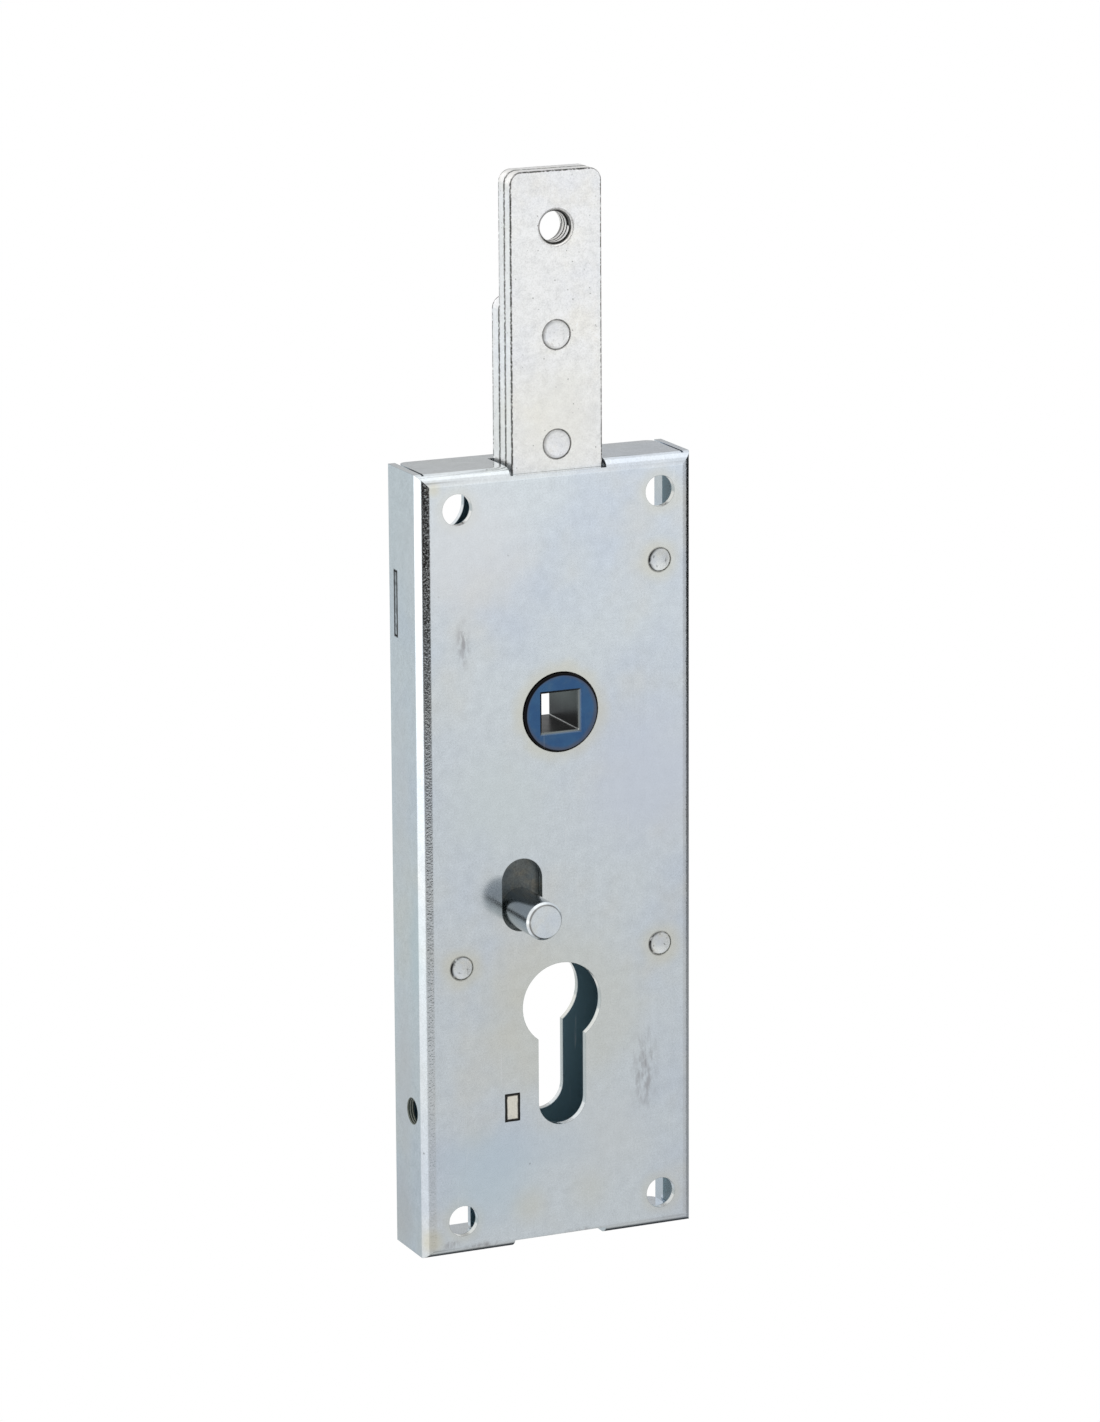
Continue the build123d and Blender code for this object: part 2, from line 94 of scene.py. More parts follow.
class Graph:
    """Adds and links the nodes of one node tree."""

    number_operations = ("LENGTH", "DISTANCE", "DOT_PRODUCT")

    def __init__(self, tree: Tree) -> None:
        """Keeps the tree of a material, a world or a node group."""
        self.tree = tree

    def add(self, kind: str, **settings: object) -> bpy.types.Node:
        """Adds a node.

        Args:
            kind: the node's type, without the words ShaderNode.
            **settings: properties to set on it.

        Returns:
            The new node.
        """
        node = self.tree.nodes.new("ShaderNode" + kind)
        for name, value in settings.items():
            setattr(node, name, value)
        return node

    def put(self, socket: Socket, value: object) -> None:
        """Links a socket to another, or sets its value.

        Args:
            socket: the input to feed.
            value: an output socket, a number, or a colour or vector.
        """
        if isinstance(value, Socket):
            self.tree.links.new(value, socket)
        elif isinstance(value, (int, float)) or len(value) == len(socket.default_value):
            socket.default_value = value
        else:
            socket.default_value = (*value, 1.0)

    def fill(self, node: bpy.types.Node, **values: object) -> None:
        """Feeds a node's inputs.

        Args:
            node: the node.
            **values: its inputs by name, with _ for a space.
        """
        for name, value in values.items():
            self.put(node.inputs[name.replace("_", " ")], value)

    def use(self, group: Tree, **values: object) -> Sockets:
        """Places a node group.

        Args:
            group: the group's tree.
            **values: its inputs by name, with _ for a space.

        Returns:
            The group's outputs.
        """
        node = self.add("Group")
        node.node_tree = group
        self.fill(node, **values)
        return node.outputs

    def math(self, operation: str, *values: object, clamp: bool = False) -> Socket:
        """Adds a Math node.

        Args:
            operation: the node's operation.
            *values: its inputs in order.
            clamp: keeps the result between 0 and 1.

        Returns:
            The result.
        """
        node = self.add("Math", operation=operation, use_clamp=clamp)
        for socket, value in zip(node.inputs, values):
            self.put(socket, value)
        return node.outputs[0]

    def times(self, first: object, second: object) -> Socket:
        """Multiplies two numbers."""
        return self.math("MULTIPLY", first, second)

    def plus(self, first: object, second: object, clamp: bool = False) -> Socket:
        """Adds two numbers; clamp keeps the sum between 0 and 1."""
        return self.math("ADD", first, second, clamp=clamp)

    def minus(self, first: object, second: object, clamp: bool = False) -> Socket:
        """Takes the second number from the first; clamp keeps the result between 0 and 1."""
        return self.math("SUBTRACT", first, second, clamp=clamp)

    def size(self, value: object) -> Socket:
        """Drops a number's sign."""
        return self.math("ABSOLUTE", value)

    def invert(self, mask: object) -> Socket:
        """Takes a mask from 1."""
        return self.minus(1.0, mask)

    def vector(self, operation: str, *values: object) -> Socket:
        """Adds a Vector Math node.

        Args:
            operation: the node's operation.
            *values: its inputs in order.

        Returns:
            The result, a number for some operations and otherwise a vector.
        """
        node = self.add("VectorMath", operation=operation)
        for socket, value in zip(node.inputs, values):
            self.put(socket, value)
        return node.outputs["Value" if operation in self.number_operations else "Vector"]

    def scaled(self, vector: object, factor: object) -> Socket:
        """Multiplies a vector or a colour by a number.

        Args:
            vector: the vector or the colour.
            factor: the number.

        Returns:
            The product.
        """
        result = self.vector("SCALE", vector)
        self.put(result.node.inputs["Scale"], factor)
        return result

    def place(self) -> Socket:
        """Gives the point in the row frame, in which the nodes and pieces are modelled."""
        return self.add("TexCoord").outputs["Object"]

    def split(self, vector: Socket) -> tuple[Socket, ...]:
        """Takes a vector apart.

        Args:
            vector: the vector.

        Returns:
            Its X, Y and Z.
        """
        node = self.add("SeparateXYZ")
        self.put(node.inputs[0], vector)
        return tuple(node.outputs)

    def from_axis(self, centre: Point) -> Socket:
        """Gives the distance from the axis along Y through a point."""
        away = self.vector("SUBTRACT", self.place(), centre)
        return self.vector("LENGTH", self.vector("MULTIPLY", away, ACROSS))

    def smooth(
        self, value: object, low: object, high: object, start: float = 0.0, end: float = 1.0
    ) -> Socket:
        """Maps a value from low to high smoothly onto another range.

        Args:
            value: the number to map.
            low: where the result is start.
            high: where the result is end.
            start: the result at low.
            end: the result at high.

        Returns:
            The mapped number.
        """
        node = self.add("MapRange", interpolation_type="SMOOTHSTEP")
        self.fill(node, Value=value, From_Min=low, From_Max=high, To_Min=start, To_Max=end)
        return node.outputs["Result"]

    def fade(self, value: object, low: object, high: object) -> Socket:
        """Maps a value from low to high smoothly onto 1 to 0."""
        return self.invert(self.smooth(value, low, high))

    def mix(self, factor: object, first: object, second: object, blend: str = "MIX") -> Socket:
        """Mixes two colours.

        Args:
            factor: how much of the second.
            first: a colour or an output.
            second: a colour or an output.
            blend: the blend type.

        Returns:
            The mixed colour.
        """
        node = self.add("Mix", data_type="RGBA", blend_type=blend)
        first_colour, second_colour, result_colour = node.inputs[6], node.inputs[7], node.outputs[2]
        self.fill(node, Factor=factor)
        self.put(first_colour, first)
        self.put(second_colour, second)
        return result_colour

    def noise(self, place: object, scale: object, detail: float = 2.0, rough: float = 0.5) -> Socket:
        """Adds a Noise texture.

        Args:
            place: the point that it reads.
            scale: its scale per metre.
            detail: its octaves.
            rough: its roughness.

        Returns:
            The factor, about 0.5 on average.
        """
        node = self.add("TexNoise", noise_dimensions="3D")
        self.fill(node, Vector=place, Scale=scale, Detail=detail, Roughness=rough)
        return node.outputs["Fac"]


class SharedGroups:
    """The effects that more than one finish uses, each built once as a node group."""

    def __init__(self) -> None:
        """Builds every group."""
        self.plating = self._plating()
        self.specks = self._specks()
        self.streaks = self._streaks()
        self.halo = self._halo()
        self.edges = self._edges()
        self.ring = self._ring()
        self.frame_line = self._frame_line()

    @staticmethod
    def _start(
        name: str, inputs: dict[str, object], outputs: Sequence[str] = ("Mask",)
    ) -> tuple[Graph, Sockets, Sockets]:
        """Makes an empty group.

        Args:
            name: the group's name.
            inputs: each input's name and its value, which also says its type.
            outputs: the outputs' names; each is a number, except Color.

        Returns:
            The graph, what the group is given and what it puts out.
        """
        tree = bpy.data.node_groups.new(name, "ShaderNodeTree")
        for key, value in inputs.items():
            if isinstance(value, float):
                kind = "NodeSocketFloat"
            else:
                kind = "NodeSocketColor" if len(value) == 4 else "NodeSocketVector"
            socket = tree.interface.new_socket(key, in_out="INPUT", socket_type=kind)
            socket.default_value = value
        for key in outputs:
            kind = "NodeSocketColor" if key == "Color" else "NodeSocketFloat"
            tree.interface.new_socket(key, in_out="OUTPUT", socket_type=kind)
        given, made = tree.nodes.new("NodeGroupInput"), tree.nodes.new("NodeGroupOutput")
        return Graph(tree), given.outputs, made.inputs

    def _plating(self) -> Tree:
        """Zinc plating: a cloudy tint in three colours and a fine grain.

        Returns:
            The group's tree.
        """
        graph, given, made = self._start(
            "plating_clouds",
            {
                "Base": (0.7, 0.7, 0.7, 1.0),
                "Cool": (0.6, 0.65, 0.75, 1.0),
                "Warm": (0.75, 0.74, 0.66, 1.0),
                "Cloud Scale": 30.0,
                "Cloud Amount": 0.5,
                "Grain Scale": 2500.0,
                "Grain Amount": 0.1,
            },
            ("Color", "Cloud", "Grain"),
        )
        place = graph.place()
        cool_place = graph.vector("ADD", place, (0.31, 0.17, 0.05))
        cool = graph.noise(cool_place, given["Cloud Scale"], 3.0, 0.55)
        warm = graph.noise(place, graph.times(given["Cloud Scale"], 1.3), 3.0, 0.6)
        grain = graph.noise(place, given["Grain Scale"], 3.0, 0.8)
        mottle = graph.noise(place, graph.times(given["Grain Scale"], 0.16), 2.0, 0.6)
        cool_mask = graph.times(graph.smooth(cool, 0.42, 0.68), given["Cloud Amount"])
        warm_mask = graph.times(graph.smooth(warm, 0.48, 0.72), given["Cloud Amount"])
        tint = graph.mix(cool_mask, given["Base"], given["Cool"])
        tint = graph.mix(warm_mask, tint, given["Warm"])
        both = graph.math("MULTIPLY_ADD", mottle, 0.5, graph.minus(grain, 0.75))
        level = graph.math("MULTIPLY_ADD", both, given["Grain Amount"], 1.0)
        shade = graph.add("CombineColor")
        for channel in range(3):
            graph.put(shade.inputs[channel], level)
        graph.put(made["Color"], graph.mix(1.0, tint, shade.outputs[0], "MULTIPLY"))
        graph.put(made["Cloud"], cool)
        graph.put(made["Grain"], grain)
        return graph.tree

    def _specks(self) -> Tree:
        """Small pits and dirt specks, scattered thinly.

        Returns:
            The group's tree.
        """
        graph, given, made = self._start("specks", {"Scale": 400.0, "Size": 0.12, "Share": 0.15})
        place = graph.place()
        wobble = graph.noise(place, 3000.0, 1.0)
        cells = graph.add("TexVoronoi", feature="F1")
        graph.fill(cells, Vector=place, Scale=given["Scale"])
        split = graph.add("SeparateColor")
        graph.put(split.inputs[0], cells.outputs["Color"])
        chosen = graph.math("LESS_THAN", split.outputs[0], given["Share"])
        reach = graph.times(given["Size"], graph.plus(wobble, 0.5))
        speck = graph.fade(cells.outputs["Distance"], graph.times(reach, 0.4), reach)
        graph.put(made["Mask"], graph.times(speck, chosen))
        return graph.tree

    def _streaks(self) -> Tree:
        """Fine scratches or shear marks: noise that is stretched along one axis.

        Returns:
            The group's tree.
        """
        graph, given, made = self._start(
            "streaks", {"Stretch": (1.0, 1.0, 0.05), "Scale": 900.0, "Low": 0.6, "High": 0.72}
        )
        stretched = graph.vector("MULTIPLY", graph.place(), given["Stretch"])
        value = graph.noise(stretched, given["Scale"], 2.0, 0.6)
        graph.put(made["Mask"], graph.smooth(value, given["Low"], given["High"]))
        return graph.tree

    def _halo(self) -> Tree:
        """A soft patch on a face, round or long, with an uneven edge.

        Returns:
            The group's tree.
        """
        graph, given, made = self._start(
            "halo",
            {
                "Centre": ORIGIN,
                "Stretch": (1.0, 0.1, 1.0),
                "Inner": 0.008,
                "Outer": 0.014,
                "Wobble": 0.003,
            },
        )
        place = graph.place()
        away = graph.vector("SUBTRACT", place, given["Centre"])
        away = graph.vector("MULTIPLY", away, given["Stretch"])
        uneven = graph.times(graph.minus(graph.noise(place, 160.0, 3.0), 0.5), given["Wobble"])
        distance = graph.plus(graph.vector("LENGTH", away), uneven)
        graph.put(made["Mask"], graph.fade(distance, given["Inner"], given["Outer"]))
        return graph.tree

    def _edges(self) -> Tree:
        """The narrow zone along every edge and in every corner, where dirt and painted shade are laid.

        Returns:
            The group's tree.
        """
        graph, given, made = self._start("edge_zone", {"Radius": 0.0002, "Low": 0.01, "High": 0.1})
        bevel = graph.add("Bevel", samples=4)
        graph.fill(bevel, Radius=given["Radius"])
        true = graph.add("NewGeometry").outputs["True Normal"]
        turned = graph.invert(graph.vector("DOT_PRODUCT", bevel.outputs["Normal"], true))
        graph.put(made["Mask"], graph.smooth(turned, given["Low"], given["High"]))
        return graph.tree

    def _ring(self) -> Tree:
        """Painted shade: a thin, uneven dark ring in the gap in a plate round something that is set into
        it, with a crescent where it stands off its hole.

        Returns:
            The group's tree.
        """
        graph, given, made = self._start(
            "ring_shade_line",
            {"Centre": ORIGIN, "Radius": 0.0026, "Width": 0.0002, "Gaps": 0.5, "Shift": ORIGIN},
        )
        place, width = graph.place(), given["Width"]
        away = graph.vector("MULTIPLY", graph.vector("SUBTRACT", place, given["Centre"]), ACROSS)
        out = graph.minus(graph.vector("LENGTH", away), given["Radius"])
        line = graph.fade(graph.size(out), 0.0, width)
        shifted = graph.vector("LENGTH", graph.vector("SUBTRACT", away, given["Shift"]))
        within = graph.math("LESS_THAN", out, graph.times(width, 0.8))
        crescent = graph.times(graph.smooth(graph.minus(shifted, given["Radius"]), 0.0, width), within)
        uneven = graph.smooth(graph.noise(place, 500.0, 2.0), graph.times(given["Gaps"], 0.7), 0.65)
        thin = graph.times(graph.times(line, uneven), 0.6)
        graph.put(made["Mask"], graph.math("MAXIMUM", thin, crescent))
        return graph.tree

    def _frame_line(self) -> Tree:
        """A thin line along the edge of a box, such as the painted shade in the gap round something let
        into a plate.

        Returns:
            The group's tree.
        """
        graph, given, made = self._start(
            "frame_line", {"Centre": ORIGIN, "Half": (0.001, 1.0, 0.001), "Width": 0.0002}
        )
        place = graph.place()
        away = graph.vector("ABSOLUTE", graph.vector("SUBTRACT", place, given["Centre"]))
        x, y, z = graph.split(graph.vector("SUBTRACT", away, given["Half"]))
        out = graph.math("MAXIMUM", x, graph.math("MAXIMUM", y, z))
        wobble = graph.times(graph.noise(place, 900.0, 2.0), given["Width"])
        graph.put(made["Mask"], graph.fade(graph.minus(graph.size(out), wobble), 0.0, given["Width"]))
        return graph.tree


class Paint(Graph):
    """The graph of one plated material, with the shared groups and the colour so far."""

    def __init__(self, tree: Tree, groups: SharedGroups) -> None:
        """Keeps the material's tree and the shared groups.

        Args:
            tree: the material's node tree.
            groups: the shared node groups.
        """
        super().__init__(tree)
        self.groups = groups
        self.colour: object = DIRT_AND_SHADE

    def lay(self, mask: object, colour: object) -> None:
        """Lays a colour over the colour so far, as strongly as the mask says."""
        self.colour = self.mix(mask, self.colour, colour)


# --------------------------------------------------------------------------------------------
# Finishes


@dataclass(frozen=True)
class Patch:
    """A tinted patch of the plating, such as the cream ring round a hole.

    Attributes:
        centre: its middle in the row frame, in metres.
        stretch: how distances count along X, Y and Z.
        inner: where it starts to fade, in metres.
        outer: where it has gone.
        amount: how strong it is.
        colour: its tint.
        streaky: breaks it up into fine upright marks.
    """

    centre: Point
    stretch: Point
    inner: float
    outer: float
    amount: float
    colour: Colour
    streaky: bool


@dataclass(frozen=True)
class Ring:
    """Painted shade: a thin dark line in the gap in the plate round a riveted end.

    Attributes:
        centre: its middle in the row frame, in metres.
        radius: its radius, in metres.
        dark: how dark it is.
        shift: how far the end stands off the middle of its hole, which shows as a crescent of painted
            shade.
    """

    centre: Point
    radius: float
    dark: float
    shift: Point = ORIGIN


@dataclass(frozen=True)
class GapShade:
    """Painted shade: a black line in the gap along the edge of a box-shaped piece let into the sheet.

    Attributes:
        centre: the middle of the box, in metres.
        half: half its sides, in metres.
        width: the width of the gap, in metres.
    """

    centre: Point
    half: Point
    width: float


@dataclass(frozen=True)
class PlatedFinish:
    """Zinc plating on steel.

    Attributes:
        name: the material's name.
        base: the main colour.
        cool: the bluish tint of the clouds.
        warm: the yellowish tint of the clouds.
        cloud_scale: clouds per metre.
        cloud_amount: how strong the clouds are.
        grain_scale: grains per metre.
        grain_amount: how strong the grain is in the colour.
        metallic: how much of the surface is bare metal.
        roughness: the mean roughness.
        rough_swing: how far the roughness varies.
        bump: the height of the grain, in metres.
        speck_share: the share of the speck cells that hold a speck.
        speck_scale: speck cells per metre.
        speck_size: the size of a speck, as a share of its cell.
        speck_dark: how dark the specks are.
        scratch_light: how light the fine upright scratches are.
        edge_width: the width of the dark zone of dirt and painted shade along the edges and in the
            corners, in metres.
        edge_low: how much the surface must turn within that width to count as an edge.
        edge_dark: how dark that zone is.
        patches: tinted patches at fixed places.
        rings: painted shade as dark lines in the gaps round riveted ends.
        gaps: painted shade as black lines in the gaps round pieces let into the sheet.
    """

    name: str
    base: Colour
    cool: Colour
    warm: Colour
    cloud_scale: float = 28.0
    cloud_amount: float = 0.5
    grain_scale: float = 2600.0
    grain_amount: float = 0.1
    metallic: float = 1.0
    roughness: float = 0.25
    rough_swing: float = 0.08
    bump: float = 0.000004
    speck_share: float = 0.08
    speck_scale: float = 260.0
    speck_size: float = 0.09
    speck_dark: float = 0.55
    scratch_light: float = 0.05
    edge_width: float = 0.00022
    edge_low: float = 0.01
    edge_dark: float = 0.5
    patches: Sequence[Patch] = ()
    rings: Sequence[Ring] = ()
    gaps: Sequence[GapShade] = ()

    def special(self, paint: Paint) -> None:
        """Lays over what only this finish has; a plain finish has nothing."""

    def metal(self, paint: Paint) -> object:
        """Gives the value for the shader's Metallic."""
        return self.metallic

    def relief(self, paint: Paint, height: Socket) -> Socket:
        """Changes the bump's height; a plain finish leaves it."""
        return height

    def normal(self, paint: Paint) -> Socket:
        """Gives the smooth normal; a finish may shape it."""
        return paint.add("NewGeometry").outputs["Normal"]

    def patched(self, paint: Paint) -> None:
        """Lays the patches, and the painted shade of the rings and the gaps, over the colour.

        Args:
            paint: the material's graph.
        """
        wobble_share = 0.35
        for patch in self.patches:
            halo = paint.use(
                paint.groups.halo,
                Centre=patch.centre,
                Stretch=patch.stretch,
                Inner=patch.inner,
                Outer=patch.outer,
                Wobble=wobble_share * patch.outer,
            )
            strength = paint.times(halo["Mask"], patch.amount)
            if patch.streaky:
                strength = paint.times(strength, paint.use(paint.groups.streaks, **SHEAR_MARKS)["Mask"])
            paint.lay(strength, patch.colour)
        # Painted shade: a thin dark line in the gap round each riveted end.
        for ring in self.rings:
            line = paint.use(
                paint.groups.ring,
                Centre=ring.centre,
                Radius=ring.radius,
                Width=RING_WIDTH,
                Shift=ring.shift,
            )
            paint.lay(paint.times(line["Mask"], ring.dark), DIRT_AND_SHADE)
        # Painted shade: a black line in the gap round each piece let into the sheet.
        for gap in self.gaps:
            line = paint.use(paint.groups.frame_line, Centre=gap.centre, Half=gap.half, Width=gap.width)
            paint.lay(line["Mask"], GAP_SHADE)

    def make(self, groups: SharedGroups) -> bpy.types.Material:
        """Builds the material.

        Args:
            groups: the shared node groups.

        Returns:
            The material.
        """
        material = bpy.data.materials.new(self.name)
        material.use_nodes = True
        paint = Paint(material.node_tree, groups)
        plating = paint.use(
            groups.plating,
            Base=self.base,
            Cool=self.cool,
            Warm=self.warm,
            Cloud_Scale=self.cloud_scale,
            Cloud_Amount=self.cloud_amount,
            Grain_Scale=self.grain_scale,
            Grain_Amount=self.grain_amount,
        )
        paint.colour = plating["Color"]
        self.patched(paint)
        self.special(paint)
        specks = paint.use(
            groups.specks, Scale=self.speck_scale, Share=self.speck_share, Size=self.speck_size
        )["Mask"]
        paint.lay(paint.times(specks, self.speck_dark), DIRT_AND_SHADE)
        scratches = paint.use(groups.streaks, **SCRATCHES)["Mask"]
        paint.lay(paint.times(scratches, self.scratch_light), SCRATCH_LIGHT)
        # Dirt and painted shade along the edges and in the corners, broken up by the grain.
        edges = paint.use(
            groups.edges, Radius=self.edge_width, Low=self.edge_low, High=10.0 * self.edge_low
        )["Mask"]
        broken = paint.plus(plating["Grain"], 0.35, clamp=True)
        paint.lay(paint.times(edges, paint.times(broken, self.edge_dark)), DIRT_AND_SHADE)
        swing = paint.times(paint.minus(plating["Cloud"], 0.5), 2.0 * self.rough_swing)
        rough = paint.plus(swing, self.roughness, clamp=True)
        rough = paint.plus(rough, paint.times(specks, 0.3), clamp=True)
        height = paint.minus(plating["Grain"], paint.times(specks, 1.5))
        bump = paint.add("Bump")
        paint.fill(
            bump,
            Strength=1.0,
            Distance=self.bump,
            Height=self.relief(paint, height),
            Normal=self.normal(paint),
        )
        paint.fill(
            material.node_tree.nodes["Principled BSDF"],
            Base_Color=paint.colour,
            Metallic=self.metal(paint),
            Roughness=rough,
            Normal=bump.outputs["Normal"],
        )
        return material


@dataclass(frozen=True)
class SheetFinish(PlatedFinish):
    """The case's sheet: bright outside, coarse on the bends, with painted shade in a dull bluish green
    inside.

    Attributes:
        inner_from: the depth at which the inside starts, in metres.
        inner_to: the depth at which it ends.
        inner_blend: how softly it starts and ends, in metres.
        inner_half_x: how far it reaches from the middle along X, in metres.
        inner_half_z: how far it reaches along Z.
        inner_shade_colour: the colour of the painted shade inside.
        inner_dull: how much of its metal is lost.
        bore_centre: the middle of the screw hole in the left side, in metres.
        bore_radius: its radius and a little more, in metres.
        bore_pitch: the pitch of its thread, in metres.
        bore_root_shade: the colour of the painted shade in the thread's roots.
        bore_crest_light: the colour of the painted light on its crests.
        bend_grain: grains per metre on the bends.
        bend_relief: how much higher that grain is than the plating's own.
        bend_reflection_dark: how dark the painted dark reflection on the left bend is, broken up by its
            grain.
        bend_low: the low corner of the box whose edges the bends are round, in metres.
        bend_high: its high corner; at the back it is open.
        bend_radius: the outer radius of the bends, in metres.
    """

    inner_from: float = 0.0012
    inner_to: float = 0.0119
    inner_blend: float = 0.0004
    inner_half_x: float = 0.0294
    inner_half_z: float = 0.0809
    inner_shade_colour: Colour = (0.13, 0.23, 0.28)
    inner_dull: float = 0.85
    bore_centre: Point = (-0.031, 0.0065, -0.0519)
    bore_radius: float = 0.00285
    bore_pitch: float = 0.0005
    bore_root_shade: Colour = (0.05, 0.06, 0.055)
    bore_crest_light: Colour = (0.36, 0.39, 0.34)
    bend_grain: float = 2500.0
    bend_relief: float = 14.0
    bend_reflection_dark: float = 0.85
    bend_low: Point = (-0.0284, 0.0026, -0.0799)
    bend_high: Point = (0.0274, 1.0, 0.0799)
    bend_radius: float = 0.0026

    def inside(self, paint: Paint) -> Socket:
        """Finds what lies inside the case.

        Args:
            paint: the material's graph.

        Returns:
            The mask.
        """
        x, y, z = paint.split(paint.place())
        behind = paint.smooth(y, self.inner_from, self.inner_from + self.inner_blend)
        mask = paint.times(behind, paint.fade(y, self.inner_to - self.inner_blend, self.inner_to))
        for along, half in ((x, self.inner_half_x), (z, self.inner_half_z)):
            mask = paint.times(mask, paint.math("LESS_THAN", paint.size(along), half))
        return mask

    def special(self, paint: Paint) -> None:
        """Paints the screw hole's thread as light crests and shaded roots, a dark reflection on the
        coarse left bend, and shade inside.

        Args:
            paint: the material's graph.
        """
        x, _, z = paint.split(paint.place())
        # Painted light and shade: the screw hole's thread as light crests and dark roots.
        turns = paint.math("SINE", paint.times(x, math.tau / self.bore_pitch))
        thread = paint.mix(paint.smooth(turns, -0.2, 0.4), self.bore_root_shade, self.bore_crest_light)
        paint.lay(self.bore(paint), thread)
        # Painted dark reflection on the front half of the left bend, towards the top, broken up by the
        # coarse grain.
        zone = paint.times(self.bend(paint, -1.0), paint.smooth(z, 0.015, 0.065))
        coarse = paint.smooth(self.coarse(paint), 0.56, 0.44)
        paint.lay(paint.times(zone, paint.times(coarse, self.bend_reflection_dark)), DIRT_AND_SHADE)
        # Painted shade inside the case, in a dull bluish green.
        paint.lay(self.inside(paint), self.inner_shade_colour)

    def relief(self, paint: Paint, height: Socket) -> Socket:
        """Makes the stretched outside of the bends coarse.

        Args:
            paint: the material's graph.
            height: the height so far.

        Returns:
            The new height.
        """
        both = paint.plus(self.bend(paint, -1.0), self.bend(paint, 1.0))
        strength = paint.times(both, self.bend_relief)
        return paint.plus(height, paint.times(self.coarse(paint), strength))

    def normal(self, paint: Paint) -> Socket:
        """Makes the bends truly round, because their facets run the whole length of the case.

        Args:
            paint: the material's graph.

        Returns:
            The normal.
        """
        least_lean, band, least_match = 0.01, 0.0003, 0.985
        geometry = paint.add("NewGeometry").outputs
        flat, place = geometry["True Normal"], paint.place()
        axis = paint.vector("MAXIMUM", paint.vector("MINIMUM", place, self.bend_high), self.bend_low)
        leaning = paint.vector("SUBTRACT", paint.vector("ABSOLUTE", flat), (least_lean,) * 3)
        leaning = paint.vector("MAXIMUM", paint.vector("SIGN", leaning), ORIGIN)
        away = paint.vector("MULTIPLY", paint.vector("SUBTRACT", place, axis), leaning)
        off = paint.size(paint.minus(paint.vector("LENGTH", away), self.bend_radius))
        curved = paint.vector("NORMALIZE", away)
        near = paint.math("LESS_THAN", off, band)
        alike = paint.math("GREATER_THAN", paint.vector("DOT_PRODUCT", curved, flat), least_match)
        return paint.mix(paint.times(near, alike), geometry["Normal"], curved)

    def coarse(self, paint: Paint) -> Socket:
        """Makes the coarse grain of the bends, about 0.5 on average."""
        return paint.noise(paint.place(), self.bend_grain, 1.0)

    def bend(self, paint: Paint, side: float) -> Socket:
        """Finds the front half of an upright bend.

        Args:
            paint: the material's graph.
            side: -1 for the left bend, 1 for the right one.

        Returns:
            The mask.
        """
        x, _, _ = paint.split(paint.add("NewGeometry").outputs["True Normal"])
        lean = paint.times(x, side)
        return paint.times(paint.smooth(lean, 0.02, 0.1), paint.fade(lean, 0.5, 0.64))

    def metal(self, paint: Paint) -> object:
        """Makes the inside and the screw hole mostly matt."""
        dull = paint.math("MAXIMUM", self.inside(paint), self.bore(paint))
        return paint.math("MULTIPLY_ADD", dull, -self.inner_dull, 1.0)

    def bore(self, paint: Paint) -> Socket:
        """Finds the wall of the screw hole in the left side.

        Args:
            paint: the material's graph.

        Returns:
            The mask.
        """
        place, upright = paint.place(), (0.0, 1.0, 1.0)
        away = paint.vector("MULTIPLY", paint.vector("SUBTRACT", place, self.bore_centre), upright)
        left = paint.math("LESS_THAN", paint.split(place)[0], 0.0)
        return paint.times(left, paint.math("LESS_THAN", paint.vector("LENGTH", away), self.bore_radius))


@dataclass(frozen=True)
class HubFinish(PlatedFinish):
    """The hub: blue at the front, with a bare grey square hole with painted shade inside and a painted
    highlight on one corner, a browned rim, and painted shade in the gap round it.

    Attributes:
        centre: the hub's middle, in metres.
        half_square: half the side of the square hole, in metres.
        rim: the radius at which the rim browns, in metres.
        shift: how far the hub stands off the middle of the hole in the plate, in metres.
        brown: the colour of the rim.
        gap: the colour of the painted shade in the gap round it.
        bare: the colour of the hole's edge.
        wall_shade_low: the colour of the painted shade on the hole's wall at the bottom.
        wall_shade_high: its colour at the top, where the painted shade is lighter.
        glint: the colour of the painted highlight along the corner.
    """

    centre: Point = (0.0, 0.0, 0.031)
    half_square: float = 0.0041
    rim: float = 0.0074
    shift: Point = (0.00026, 0.0, -0.0002)
    brown: Colour = (0.13, 0.11, 0.10)
    gap: Colour = (0.01, 0.01, 0.012)
    bare: Colour = (0.17, 0.19, 0.19)
    wall_shade_low: Colour = (0.012, 0.014, 0.015)
    wall_shade_high: Colour = (0.075, 0.09, 0.085)
    glint: Colour = (0.75, 0.77, 0.77)

    def special(self, paint: Paint) -> None:
        """Bares the square hole, browns the rim, and paints shade in the gap and in the hole and a
        highlight along its corner.

        Args:
            paint: the material's graph.
        """
        place = paint.place()
        away = paint.vector("SUBTRACT", place, self.centre)
        x, y, z = paint.split(away)
        across = paint.math("MAXIMUM", paint.size(x), paint.size(z))
        hole = paint.fade(across, self.half_square + 0.0001, self.half_square + 0.0006)
        flat = paint.vector("MULTIPLY", away, ACROSS)
        uneven = paint.times(paint.noise(place, 300.0, 2.0), 0.001)
        out = paint.plus(paint.vector("LENGTH", flat), uneven)
        paint.lay(paint.times(paint.smooth(out, self.rim, self.rim + 0.001), 0.55), self.brown)
        # Painted shade: a dark crescent in the gap where the hub stands off the hole in the plate.
        shifted = paint.vector("LENGTH", paint.vector("SUBTRACT", flat, self.shift))
        paint.lay(paint.smooth(shifted, self.rim + 0.0003, self.rim + 0.0005), self.gap)
        paint.lay(hole, self.bare)
        # Painted shade on the hole's wall, darker at the bottom.
        shade = paint.mix(paint.smooth(z, -0.003, 0.003), self.wall_shade_low, self.wall_shade_high)
        paint.lay(paint.times(hole, paint.smooth(y, 0.0002, 0.0014)), shade)
        # Painted highlight along one inner corner of the hole.
        corner = paint.vector("SUBTRACT", flat, (self.half_square, 0.0, -self.half_square))
        line = paint.fade(paint.vector("LENGTH", corner), 0.00008, 0.0002)
        paint.lay(paint.times(line, 0.8), self.glint)


